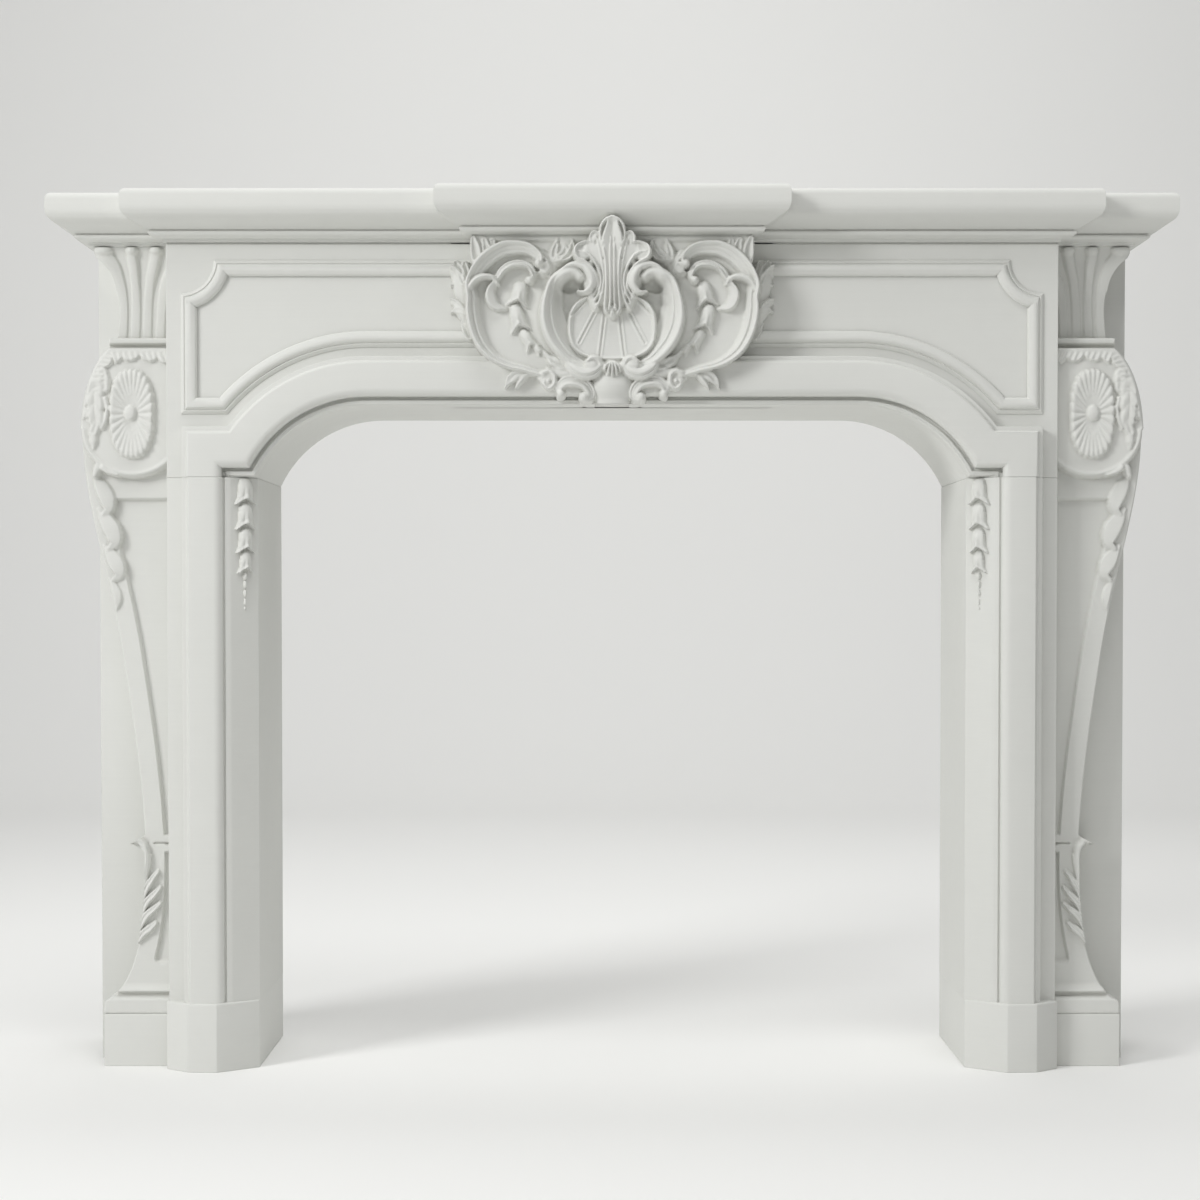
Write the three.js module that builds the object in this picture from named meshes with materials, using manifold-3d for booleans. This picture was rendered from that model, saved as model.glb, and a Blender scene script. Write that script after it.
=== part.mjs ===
// A carved stone fireplace surround with a stepped shelf, an arched header with a shell
// cartouche, moulded legs and a scroll console outside each leg. Millimetres, +Z up, front
// towards -Y. Depths are measured forward from the wall behind the surround.

import * as THREE from 'three';
import { mergeVertices } from 'three/addons/utils/BufferGeometryUtils.js';
import Module from 'manifold-3d';

const wasm = await Module();
wasm.setup();

// Driving dimensions
const HEIGHT = 1315;
const OPENING_WIDTH = 1067;
const OPENING_HEIGHT = 998;
const ARCH_RADIUS = 184;
const JOINT_HEIGHT = 891;
const JOINT_GAP = 0.3;

const SHELF_THICKNESS = 80;
const SHELF_PROJECTION = 58;
const SHELF_STEP = 38;
const CENTRE_HALF_WIDTH = 205;

const LEG_WIDTH = 135.5;
const FRIEZE_DEPTH = 264;
const REVEAL_DEPTH = 254;
const STRIP_WIDTH = 26.5;
const FILLET_WIDTH = 6.5;
const FILLET_RISE = 22;
const BEVEL_WIDTH = 4.5;
const FACE_RISE = 31;
const LEG_FACE_WIDTH = 40;
const ARCH_FACE_WIDTH = 46;
const SOFFIT_FILLET = 6;
const COVE_WIDTH = 10;
const EAR_HEIGHT = (OPENING_HEIGHT - JOINT_HEIGHT) * 0.6;
const SHOULDER_HEIGHT = (OPENING_HEIGHT - JOINT_HEIGHT) * 0.16;
const BED_HEIGHT = 7;
const CANT_WIDTH = 37;
const CANT_RISE = 27;
const GROOVE_WIDTH = 5;

const PANEL_SIDE_MARGIN = 22;
const PANEL_TOP_MARGIN = 18;
const PANEL_ARCH_MARGIN = 15;
const PANEL_EAR_MARGIN = 20;
const PANEL_NOTCH = 50;
const PANEL_MOULDING = 25;

const PLINTH_HEIGHT = 103;
const PLINTH_DEPTH = 300;
const PLINTH_PROJECTION = 2.5;
const PLINTH_BEVEL = 3;

const CONSOLE_WIDTH = 118.5;
const SLAB_DEPTH = 182;
const SHAFT_DEPTH = 232;
const FLUTE_DEPTH = 13;
const DISC_RISE = 14;
const PANEL_SINK = 8;
const PANEL_BORDER = 29;
const BLOCK_HEIGHT = 80;
const BLOCK_DEPTH = 249;
const BLOCK_INSET = 17;
const CAP_HEIGHT = 21;
const NECK_HEIGHT = 130;
const BEAD_HEIGHT = 11;

const STONE = { color: 0xdcdcd6, roughness: 0.85, metalness: 0 };

// Places worked out from the driving dimensions
const legInner = OPENING_WIDTH / 2;
const legOuter = legInner + LEG_WIDTH;
const slabOuter = legOuter + CONSOLE_WIDTH;
const faceDepth = FRIEZE_DEPTH + FACE_RISE;
const filletDepth = FRIEZE_DEPTH + FILLET_RISE;
const headerTop = HEIGHT - SHELF_THICKNESS;
const centreDepth = FRIEZE_DEPTH + SHELF_STEP;
const totalDepth = centreDepth + SHELF_PROJECTION;
const archCentreZ = OPENING_HEIGHT - ARCH_RADIUS;
const archCentreX = legInner - Math.sqrt(ARCH_RADIUS ** 2 - (JOINT_HEIGHT - archCentreZ) ** 2);
const faceOuter = legOuter - STRIP_WIDTH - FILLET_WIDTH - BEVEL_WIDTH;
const faceInner = faceOuter - LEG_FACE_WIDTH;
const archFaceInner = ARCH_RADIUS + SOFFIT_FILLET + COVE_WIDTH;
const archFaceOuter = archFaceInner + ARCH_FACE_WIDTH;
const bandMargin = BEVEL_WIDTH + FILLET_WIDTH;
const ROOT = 12;

/** The point at x across, z up and depth forward of the wall. */
function at(x, z, depth) {
  return new THREE.Vector3(x, totalDepth / 2 - depth, z);
}

const v2 = (x, y) => new THREE.Vector2(x, y);

/** Points along an elliptical arc, angles in degrees, both ends included. */
function arc(cx, cy, rx, ry, from, to, segments) {
  return Array.from({ length: segments + 1 }, (_, i) => {
    const angle = THREE.MathUtils.degToRad(from + ((to - from) * i) / segments);
    return v2(cx + rx * Math.cos(angle), cy + ry * Math.sin(angle));
  });
}

/** The angle, in degrees from the horizontal, at which a circle reaches a rise. */
function angleAtRise(rise, radius) {
  return THREE.MathUtils.radToDeg(Math.asin(rise / radius));
}

/** Reads a list of values spread evenly over 0 to 1. */
function spread(values, t) {
  const place = t * (values.length - 1);
  const index = Math.min(Math.floor(place), values.length - 2);
  return THREE.MathUtils.lerp(values[index], values[index + 1], place - index);
}

/** Moves an outline sideways by a distance with mitred corners; positive is to its left. */
function offsetOutline(points, distance, closed = false) {
  const last = points.length - 1;
  const leftOf = (a, b) => v2(a.y - b.y, b.x - a.x).normalize();
  return points.map((point, i) => {
    const before = closed ? points[i === 0 ? last : i - 1] : points[Math.max(i - 1, 0)];
    const after = closed ? points[i === last ? 0 : i + 1] : points[Math.min(i + 1, last)];
    const out = leftOf(point, after === point ? point.clone().multiplyScalar(2).sub(before) : after);
    const into = before === point ? out : leftOf(before, point);
    const mitre = into.clone().add(out).divideScalar(1 + into.dot(out));
    return point.clone().addScaledVector(mitre, distance);
  });
}

/** Mirrors the outline's left half across x = 0 and joins the halves. */
function withMirror(leftHalf) {
  return [...leftHalf, ...leftHalf.map((p) => v2(-p.x, p.y)).reverse()];
}

/** The triangles that close one ring of points, as index triples into the ring. */
function capTriangles(ring) {
  const normal = new THREE.Vector3();
  ring.forEach((p, i) => normal.add(p.clone().cross(ring[(i + 1) % ring.length])));
  normal.normalize();
  const side = new THREE.Vector3(1, 0, 0);
  if (Math.abs(normal.x) > 0.9) side.set(0, 1, 0);
  const across = side.cross(normal).normalize();
  const up = normal.clone().cross(across);
  return THREE.ShapeUtils.triangulateShape(ring.map((p) => v2(p.dot(across), p.dot(up))), []);
}

/** A manifold solid from points and triangles, turned so that its faces point outward. */
function solidFromTriangles(points, triangles) {
  let geometry = new THREE.BufferGeometry().setFromPoints(points).setIndex(triangles.flat());
  geometry = mergeVertices(geometry, 1e-4);
  const index = Array.from(geometry.index.array);
  const corner = (i) => new THREE.Vector3().fromBufferAttribute(geometry.attributes.position, index[i]);
  let volume = 0;
  for (let i = 0; i < index.length; i += 3) volume += corner(i).dot(corner(i + 1).cross(corner(i + 2)));
  if (volume < 0) index.reverse();
  const vertProperties = new Float32Array(geometry.attributes.position.array);
  const triVerts = new Uint32Array(index);
  return new wasm.Manifold(new wasm.Mesh({ numProp: 3, vertProperties, triVerts }));
}

/** Skins a row of rings of equal length into a closed solid; looped joins the last to the first. */
function skin(rings, looped = false) {
  const size = rings[0].length;
  const triangles = [];
  const spans = looped ? rings.length : rings.length - 1;
  for (let r = 0; r < spans; r++) {
    const here = r * size;
    const next = ((r + 1) % rings.length) * size;
    for (let i = 0; i < size; i++) {
      const j = (i + 1) % size;
      triangles.push([here + i, next + i, next + j], [here + i, next + j, here + j]);
    }
  }
  if (!looped) {
    const end = (rings.length - 1) * size;
    for (const [a, b, c] of capTriangles(rings[0])) triangles.push([a, b, c]);
    for (const [a, b, c] of capTriangles(rings.at(-1))) triangles.push([end + c, end + b, end + a]);
  }
  return solidFromTriangles(rings.flat(), triangles);
}

/** A slab of the front outline, from one depth to another. */
function frontSlab(outline, from, to) {
  return skin([from, to].map((depth) => outline.map((p) => at(p.x, p.y, depth))));
}

/** An upright of the plan outline, whose points are x and depth, from one height to another. */
function upright(outline, from, to) {
  return skin([from, to].map((z) => outline.map((p) => at(p.x, z, p.y))));
}

/** Joins a list of solids. */
function joined(solids) {
  return solids.reduce((sum, solid) => sum.add(solid));
}

/** The three.js mesh of a solid. */
function meshOf(name, solid, mirrored = false) {
  const { vertProperties, triVerts, numProp } = solid.getMesh();
  const count = vertProperties.length / numProp;
  const position = new Float32Array(count * 3);
  for (let i = 0; i < count; i++) {
    for (let k = 0; k < 3; k++) position[i * 3 + k] = vertProperties[i * numProp + k];
    if (mirrored) position[i * 3] *= -1;
  }
  const geometry = new THREE.BufferGeometry();
  geometry.setAttribute('position', new THREE.BufferAttribute(position, 3));
  geometry.setIndex(Array.from(mirrored ? triVerts.slice().reverse() : triVerts));
  geometry.computeVertexNormals();
  const mesh = new THREE.Mesh(geometry, new THREE.MeshStandardMaterial(STONE));
  mesh.name = name;
  return mesh;
}

// Cross-sections of carved members, as side (-1 to 1) and rise (0 to 1)
const RIDGE = [[-1, 0], [0, 1], [1, 0]];
const ROUND = [[-1, 0], [-0.55, 0.9], [0.55, 0.9], [1, 0]];
const SCROLL = [[-1, 0], [-0.8, 0.9], [-0.2, 1], [0.35, 0.45], [1, 0.2]];
const LEAF = [[-1, 0], [-0.75, 0.9], [0, 0.5], [0.75, 0.9], [1, 0]];
const FLUTED = [
  [-1, 0], [-0.85, 0.7], [-0.6, 0.55], [-0.32, 0.95], [0, 0.6], [0.32, 0.95], [0.6, 0.55], [0.85, 0.7],
  [1, 0],
];

/**
 * A carved member along a curve through [x, z] points. Width is half the member's breadth and
 * height its rise from the ground, each a list spread along the curve. The place function
 * takes x, z and rise to the part's own axes.
 */
function member(points, place, { width, height, section = ROUND, stations = 10, root = ROOT }) {
  const curve = new THREE.SplineCurve(points.map(([x, z]) => v2(x, z)));
  const rings = Array.from({ length: stations + 1 }, (_, i) => {
    const t = i / stations;
    const centre = curve.getPoint(t);
    const along = curve.getTangent(t);
    const half = spread(width, t);
    const rise = spread(height, t);
    const point = (side, up) => place(
      centre.x - along.y * side * half, centre.y + along.x * side * half, up);
    return [point(-1, -root), ...section.map(([side, up]) => point(side, up * rise)), point(1, -root)];
  });
  return skin(rings);
}

/** A patera: an oval dome of radial petals round a plain button, squarer than an ellipse. */
function patera(centre, radii, place, { petals, height, groove }) {
  const around = petals * 2;
  const ring = (share, rise, dip) => Array.from({ length: around }, (_, i) => {
    const angle = (2 * Math.PI * i) / around;
    const full = (value) => Math.sign(value) * Math.abs(value) ** 0.8;
    const low = i % 2 ? dip : 0;
    return place(
      centre.x + (radii.x * share - low) * full(Math.cos(angle)),
      centre.y + (radii.y * share - low) * full(Math.sin(angle)), rise - low);
  });
  return skin([
    ring(1, -ROOT, 0), ring(1, height * 0.5, groove), ring(0.75, height, groove),
    ring(0.24, height * 0.5, 0), ring(0.2, height * 1.1, 0),
  ]);
}

/** A bellflower hanging from the top point, flaring to its open end. */
function bellflower(x, z, lean, length, halfWidth, rise, place) {
  const foot = [x + lean, z - length];
  return member([[x, z], [x + lean * 0.5, z - length * 0.5], foot], place, {
    width: [0.3, 0.75, 0.68, 1].map((share) => share * halfWidth),
    height: [0.35, 1, 0.85, 0.8].map((share) => share * rise),
    stations: 3,
    root: 4,
  });
}

/** The outline of the arch at a radius, left half, from a height on its flank to the crown. */
function archFlank(radius, fromHeight, segments = 10) {
  const start = angleAtRise(fromHeight - archCentreZ, radius);
  return arc(-archCentreX, archCentreZ, radius, radius, 180 - start, 90, segments);
}

// Shelf

/** The plan of the shelf's bed: a centre, a main and an end step on each side. */
function shelfPlan() {
  const endDepth = FRIEZE_DEPTH - SHELF_STEP;
  return withMirror([
    v2(-slabOuter, 0), v2(-slabOuter, endDepth), v2(-legOuter, endDepth), v2(-legOuter, FRIEZE_DEPTH),
    v2(-CENTRE_HALF_WIDTH, FRIEZE_DEPTH), v2(-CENTRE_HALF_WIDTH, centreDepth),
  ]);
}

/**
 * The shelf's edge moulding, as projection beyond the bed and drop below the top: a thumb nose
 * that falls back to a quirk, a thin fillet, a cavetto and a neck.
 */
function shelfProfile() {
  const out = (share) => SHELF_PROJECTION * share;
  const down = (share) => -SHELF_THICKNESS * share;
  const cavetto = SHELF_THICKNESS * 0.14;
  return [
    ...arc(out(0.724), down(0.28), out(0.276), -down(0.28), 90, 0, 4),
    ...arc(out(0.724), down(0.28), out(0.276), -down(0.2125), -20, -60, 2),
    v2(out(0.466), down(0.76)), v2(out(0.405), down(0.76)), v2(out(0.38), down(0.81)),
    ...arc(out(0.38), down(0.95), out(0.276), cavetto, 120, 180, 2),
    v2(out(0.103), down(0.963)), v2(0, down(0.963)), v2(0, -SHELF_THICKNESS),
  ];
}

/** The shelf, or with a clearance the slightly larger space that it needs. */
function shelfSolid(clearance = 0) {
  const plan = shelfPlan();
  const rings = shelfProfile().map(({ x, y }) => offsetOutline(plan, x + clearance)
    .map((p) => at(p.x, HEIGHT + y, p.y)));
  if (clearance > 0) {
    const bed = offsetOutline(plan, clearance).map((p) => at(p.x, headerTop - clearance, p.y));
    rings.push(bed);
  }
  return skin(rings);
}

// Header

/** The plain block of the header, cut by the arch, with the frieze standing on it. */
function headerBlock() {
  const opened = (radius) => [
    ...withMirror([v2(-legOuter, JOINT_HEIGHT), v2(-legOuter, headerTop - JOINT_GAP)]),
    ...withMirror(archFlank(radius, JOINT_HEIGHT)).reverse(),
  ];
  const underBand = archFaceInner + ARCH_FACE_WIDTH / 2;
  const frieze = frontSlab(opened(underBand), REVEAL_DEPTH - ROOT, FRIEZE_DEPTH);
  return frontSlab(opened(ARCH_RADIUS), 0, REVEAL_DEPTH).add(frieze);
}

/** The raised band that runs up each leg, round an ear and over the arch. */
function archBand() {
  const earTop = JOINT_HEIGHT + EAR_HEIGHT;
  const shoulder = JOINT_HEIGHT + SHOULDER_HEIGHT;
  const outer = withMirror([
    v2(-faceOuter, JOINT_HEIGHT), v2(-faceOuter, earTop), ...archFlank(archFaceOuter, earTop),
  ]);
  const inner = withMirror([
    v2(-faceInner, JOINT_HEIGHT), v2(-faceInner, shoulder), ...archFlank(archFaceInner, shoulder),
  ]);
  const levels = [
    [REVEAL_DEPTH - ROOT, bandMargin, COVE_WIDTH],
    [filletDepth, bandMargin, COVE_WIDTH],
    [filletDepth + 0.5, BEVEL_WIDTH, COVE_WIDTH * 0.9],
    [faceDepth - 3, BEVEL_WIDTH * 0.5, COVE_WIDTH * 0.45],
    [faceDepth, 0, 0],
  ];
  return skin(levels.map(([depth, out, into]) => [
    ...offsetOutline(outer, out), ...offsetOutline(inner, -into).reverse(),
  ].map((p) => at(p.x, p.y, depth))));
}

/** The bed under each ear, which carries the leg's canted fillet up to the shoulder. */
function headerBeds() {
  const plan = [...legCant(), v2(faceInner - GROOVE_WIDTH, 0), v2(legInner, 0)];
  const mirrored = plan.map((p) => v2(-p.x, p.y));
  return [plan, mirrored].map((outline) => upright(outline, JOINT_HEIGHT, JOINT_HEIGHT + BED_HEIGHT));
}

/** The bead moulding that frames one frieze panel: notched above, following the arch below. */
function panelFrame(side) {
  const left = -legOuter + PANEL_SIDE_MARGIN;
  const top = headerTop - PANEL_TOP_MARGIN;
  const bottom = JOINT_HEIGHT + EAR_HEIGHT + bandMargin + PANEL_EAR_MARGIN;
  const radius = archFaceOuter + bandMargin + PANEL_ARCH_MARGIN;
  const right = -CENTRE_HALF_WIDTH * 0.8;
  const chain = [
    v2(left, bottom), ...arc(left, top, PANEL_NOTCH, PANEL_NOTCH, -90, 0, 3), v2(right, top),
    v2(right, archCentreZ + radius), ...archFlank(radius, bottom, 8).reverse(),
  ];
  const profile = [
    [0, -0.5], [0, 0.16], [0.28, 0.2], [0.36, 0.12], [0.48, 0.32], [0.76, 0.36], [0.96, 0.2], [1, -0.5],
  ];
  const rings = profile.map(([inset, rise]) => offsetOutline(chain, -inset * PANEL_MOULDING, true)
    .map((p) => at(side * p.x, p.y, FRIEZE_DEPTH + rise * PANEL_MOULDING)));
  return skin(rings, true);
}

// The cartouche is drawn 237 units high, from the crown of the arch to the bed of the shelf;
// carve is the size of one unit
const carve = (headerTop - OPENING_HEIGHT) / 237;
const OUTER_SCROLL = [
  [96, 194], [100, 213], [121, 226], [146, 227], [178, 211], [199, 182], [204, 152],
  [199, 115], [181, 84], [150, 66], [115, 55], [96, 42], [97, 29],
];
const INNER_SCROLL = [
  [52, 166], [34, 168], [29, 186], [46, 198], [67, 191], [86, 169], [94, 134], [88, 103],
  [71, 79], [46, 63], [20, 58],
];

/** Places a carved point on the cartouche's ground: across, above the crown and rise. */
const onCartouche = (side) => (x, z, rise) => at(
  side * x * carve, OPENING_HEIGHT + z * carve, centreDepth + rise * carve);

/** The ground that the cartouche is carved on, from the shelf's bed to the crown. */
function cartoucheGround() {
  const scroll = new THREE.SplineCurve(
    OUTER_SCROLL.map(([x, z]) => v2(-x * carve, OPENING_HEIGHT + z * carve)));
  const flank = Array.from({ length: 9 }, (_, i) => scroll.getPoint(0.34 + (0.66 * i) / 8));
  const half = [
    v2(-30 * carve, OPENING_HEIGHT + 3 * carve), ...flank.reverse(),
    v2(-CENTRE_HALF_WIDTH * 0.96, headerTop - 16 * carve), v2(-CENTRE_HALF_WIDTH, headerTop - JOINT_GAP),
  ];
  return frontSlab(withMirror(half), FRIEZE_DEPTH - ROOT, centreDepth);
}

/** The scrolls, leaves and bellflowers on one side of the cartouche. */
function cartoucheSide(side) {
  const place = onCartouche(side);
  const turned = SCROLL.map(([across, rise]) => [-across, rise]).reverse();
  const solids = [
    member(OUTER_SCROLL, place, {
      width: [8, 11, 14, 15, 15, 14, 12, 9, 8, 9], height: [16, 20, 24, 26, 26, 24, 22, 20, 18, 18, 16],
      section: SCROLL, stations: 19,
    }),
    member([...INNER_SCROLL].reverse(), place, {
      width: [9, 14, 16, 17, 16, 15, 12, 10, 9], height: [20, 24, 30, 34, 36, 34, 30, 26, 22],
      section: turned, stations: 16,
    }),
    member([[192, 166], [170, 178], [152, 172], [152, 156]], place, {
      width: [5, 10, 10, 7], height: [14, 18, 17, 12], stations: 4,
    }),
    member([[186, 150], [160, 190], [128, 200], [110, 184]], place, {
      width: [5, 8, 9, 8], height: [9, 12, 13, 13], section: RIDGE, stations: 5,
    }),
    member([[84, 12], [80, 34], [52, 36], [36, 26], [32, 8]], place, {
      width: [7, 9, 9, 9, 9], height: [14, 18, 18, 16, 14], stations: 6,
    }),
    member([[102, 66], [84, 50], [56, 40], [24, 50]], place, {
      width: [7, 12, 14, 10], height: [12, 18, 22, 20], stations: 4,
    }),
    member([[112, 44], [138, 46], [158, 22]], place, {
      width: [5, 10, 7], height: [4, 8, 5], section: RIDGE, stations: 3,
    }),
  ];
  const drop = [
    [139, 178, 9, 29, 16], [137, 149, 8, 28, 15], [127, 119, 10, 24, 12], [114, 96, 16, 16, 8],
  ];
  for (const [x, z, lean, length, half] of drop) {
    solids.push(bellflower(x, z, -lean, length, half, 14, place));
  }
  const onFrieze = (x, z, rise) => place(x, z, rise - SHELF_STEP / carve + 4);
  const leaves = [[208, 184, 238, 222, 15], [212, 158, 234, 172, 10], [206, 126, 222, 130, 9]];
  for (const [x0, z0, x1, z1, half] of leaves) {
    solids.push(member([[x0, z0], [x1, z1]], onFrieze, {
      width: [half * 0.7, half, half * 0.6], height: [20, 22, 14], section: RIDGE, stations: 2,
    }));
  }
  for (const [x0, z0, x1, z1] of [[72, 210, 52, 226], [92, 212, 82, 230], [182, 216, 192, 228]]) {
    solids.push(member([[x0, z0], [x1, z1]], place, {
      width: [10, 7], height: [9, 9], section: RIDGE, stations: 1,
    }));
  }
  return solids;
}

/** The shell dish with its ribs, spreading from the palmette's foot. */
function shellDish(place) {
  const foot = { x: 0, z: 136 };
  const middle = { x: 0, z: 112 };
  const ring = (share, rise) => arc(middle.x, middle.z, 68 * share, 53 * share, 0, 340, 17)
    .map((p) => place(p.x, p.y, rise));
  const ribs = [-68, -42, -15, 15, 42, 68].map((degrees) => {
    const angle = THREE.MathUtils.degToRad(degrees);
    const reach = 56 + 18 * Math.cos(angle);
    const end = [reach * Math.sin(angle), foot.z - reach * Math.cos(angle)];
    return member([[foot.x, foot.z], end], place, {
      width: [1.5, 3], height: [4, 9], section: RIDGE, stations: 1, root: 4,
    });
  });
  return [skin([ring(1, -ROOT), ring(1, 14), ring(0.85, 7), ring(0.4, 2)]), ...ribs];
}

/** The shell disc, the palmette over it and the boss below, on the centre line. */
function cartoucheCentre() {
  const place = onCartouche(1);
  const boss = member([[0, 2], [0, 42]], place, {
    width: [20, 28, 28, 14], height: [14, 24, 24, 10], stations: 4,
  });
  const body = member([[0, 126], [0, 238]], place, {
    width: [9, 30, 22, 19, 24, 40, 52, 42, 22], height: [14, 20, 26, 30, 34, 36, 36, 34, 32],
    section: FLUTED, stations: 8,
  });
  const hood = member([[0, 196], [0, 270]], place, {
    width: [6, 14, 22, 20, 8], height: [38, 44, 50, 54, 52], section: LEAF, stations: 5,
  });
  const curls = [1, -1].map((side) => member(
    [[side * 34, 202], [side * 48, 204], [side * 54, 218], [side * 44, 228], [side * 36, 222]], place,
    { width: [4, 7, 8, 7, 4], height: [36, 40, 42, 40, 36], stations: 4 }));
  return [...shellDish(place), boss, body, hood, ...curls];
}

/** The header: frieze, arch band, panel frames and cartouche cut from one stone. */
function headerSolid() {
  return joined([
    headerBlock(), archBand(), ...headerBeds(), panelFrame(1), panelFrame(-1), cartoucheGround(),
    ...cartoucheSide(1), ...cartoucheSide(-1), ...cartoucheCentre(),
  ]).subtract(shelfSolid(JOINT_GAP));
}

// Leg

/** The canted inner corner of a leg and its fillet, as x and depth, from the opening outward. */
function legCant() {
  const foot = v2(legInner, REVEAL_DEPTH);
  const brow = v2(legInner + CANT_WIDTH, REVEAL_DEPTH + CANT_RISE);
  return [foot, brow, v2(brow.x, brow.y + 4), v2(faceInner - COVE_WIDTH - GROOVE_WIDTH, brow.y + 6)];
}

/** The plan of a leg above its plinth, as x and depth. */
function legPlan() {
  const grooveDepth = REVEAL_DEPTH + CANT_RISE - 4;
  return [
    v2(legInner, 0), ...legCant(), v2(faceInner - COVE_WIDTH - GROOVE_WIDTH, grooveDepth),
    v2(faceInner - COVE_WIDTH, grooveDepth), v2(faceInner - COVE_WIDTH, filletDepth),
    v2(faceInner - COVE_WIDTH * 0.45, faceDepth - 3), v2(faceInner, faceDepth),
    v2(faceOuter, faceDepth), v2(faceOuter + BEVEL_WIDTH, filletDepth),
    v2(faceOuter + bandMargin, filletDepth), v2(faceOuter + bandMargin, FRIEZE_DEPTH),
    v2(legOuter, FRIEZE_DEPTH), v2(legOuter, 0),
  ];
}

/** The plan of a leg's plinth: canted at both front corners. */
function plinthPlan() {
  const outer = legOuter + PLINTH_PROJECTION;
  return [
    v2(legInner, 0), v2(legInner, REVEAL_DEPTH + PLINTH_BEVEL), v2(faceInner, PLINTH_DEPTH),
    v2(faceOuter + BEVEL_WIDTH, PLINTH_DEPTH - PLINTH_BEVEL),
    v2(outer, FRIEZE_DEPTH + 2 * PLINTH_BEVEL), v2(outer, SLAB_DEPTH + PLINTH_BEVEL),
    v2(legOuter, SLAB_DEPTH + PLINTH_BEVEL), v2(legOuter, 0),
  ];
}

/** Puts carving on the canted face: across from its middle, height and rise. */
function onCant(x, z, rise) {
  const slope = Math.atan2(CANT_RISE, CANT_WIDTH);
  const middleX = legInner + CANT_WIDTH / 2;
  const middleDepth = REVEAL_DEPTH + CANT_RISE / 2;
  return at(
    middleX + x * Math.cos(slope) - rise * Math.sin(slope), z,
    middleDepth + x * Math.sin(slope) + rise * Math.cos(slope));
}

/** The drop of four bellflowers and a tapering row of beads on the canted face. */
function legDrop() {
  const bells = [[3, 38, 17], [40, 38, 17], [77, 37, 16], [112, 32, 13]].map(([drop, length, half]) => (
    bellflower(0, JOINT_HEIGHT - drop, 0, length, half, 13, onCant)));
  const tail = member([[0, JOINT_HEIGHT - 142], [0, JOINT_HEIGHT - 202]], onCant, {
    width: [3, 6, 2.5, 5, 2, 4, 1.5], height: [3, 7, 3, 6, 2, 4, 1.5], stations: 6, root: 4,
  });
  return [...bells, tail];
}

/** The plinth with its bevelled top edge. */
function plinthSolid() {
  const plan = plinthPlan();
  const shrunk = plan.map((p) => v2(Math.min(p.x, legOuter), Math.max(p.y - PLINTH_BEVEL, 0)));
  const rings = [[plan, 0], [plan, PLINTH_HEIGHT - PLINTH_BEVEL], [shrunk, PLINTH_HEIGHT]];
  return skin(rings.map(([outline, z]) => outline.map((p) => at(p.x, z, p.y))));
}

/** The space that the plinth's outer side takes from the console beside it. */
function plinthClearance() {
  const outer = legOuter + PLINTH_PROJECTION + JOINT_GAP;
  const plan = [
    v2(legInner, SLAB_DEPTH), v2(legInner, totalDepth), v2(outer, totalDepth), v2(outer, SLAB_DEPTH),
  ];
  return upright(plan, -ROOT, PLINTH_HEIGHT + JOINT_GAP);
}

/** One leg with its plinth and bellflower drop. */
function legSolid() {
  const shaft = upright(legPlan(), PLINTH_HEIGHT - ROOT, JOINT_HEIGHT - JOINT_GAP);
  return joined([plinthSolid(), shaft, ...legDrop()]);
}

// Console

const consoleInner = legOuter + JOINT_GAP;
const consoleFoot = BLOCK_HEIGHT + JOINT_GAP;
const consoleTop = headerTop - JOINT_GAP;
const capTop = consoleFoot + CAP_HEIGHT;
const neckFoot = consoleTop - NECK_HEIGHT;
const beadFoot = neckFoot - BEAD_HEIGHT;
const blockOuter = slabOuter - BLOCK_INSET;

// The scroll, shaft and foot keep their shares of the console's width and of the height
// between the cap and the bead
const scrollHeight = beadFoot - capTop;
const reachAt = (share) => legOuter + CONSOLE_WIDTH * share;
const riseAt = (share) => capTop + scrollHeight * share;
const disc = {
  x: reachAt(0.464), z: riseAt(0.87), rx: CONSOLE_WIDTH * 0.663, rz: scrollHeight * 0.073,
};
const rosette = {
  centre: v2(disc.x, riseAt(0.892)),
  radii: v2(CONSOLE_WIDTH * 0.285, scrollHeight * 0.0685),
};
/** A point of the console's outline, in shares of its reach and rise. */
const onOutline = (reach, rise) => v2(reachAt(reach), riseAt(rise));

/** Points along a path that starts at the first outline point and bends through threes. */
function bends(start, ...curves) {
  const path = new THREE.CurvePath();
  let from = onOutline(...start);
  for (const [a, b, end] of curves) {
    const to = onOutline(...end);
    path.add(new THREE.CubicBezierCurve(from, onOutline(...a), onOutline(...b), to));
    from = to;
  }
  return path.getPoints(6);
}

/** The outer edge of the scroll, from the bead to its widest point. */
function scrollEdge() {
  return bends([0.76, 0.994], [[0.96, 0.975], [1.12, 0.93], [1.127, 0.87]]);
}

/** The outer edge of the shaft and foot, from the scroll's widest point down to the cap. */
function shaftEdge() {
  return bends(
    [1.127, 0.87],
    [[1.127, 0.76], [0.82, 0.67], [0.64, 0.54]],
    [[0.5, 0.43], [0.37, 0.33], [0.34, 0.215]],
    [[0.34, 0.1], [0.5, 0.03], [0.78, 0]],
  );
}

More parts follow.
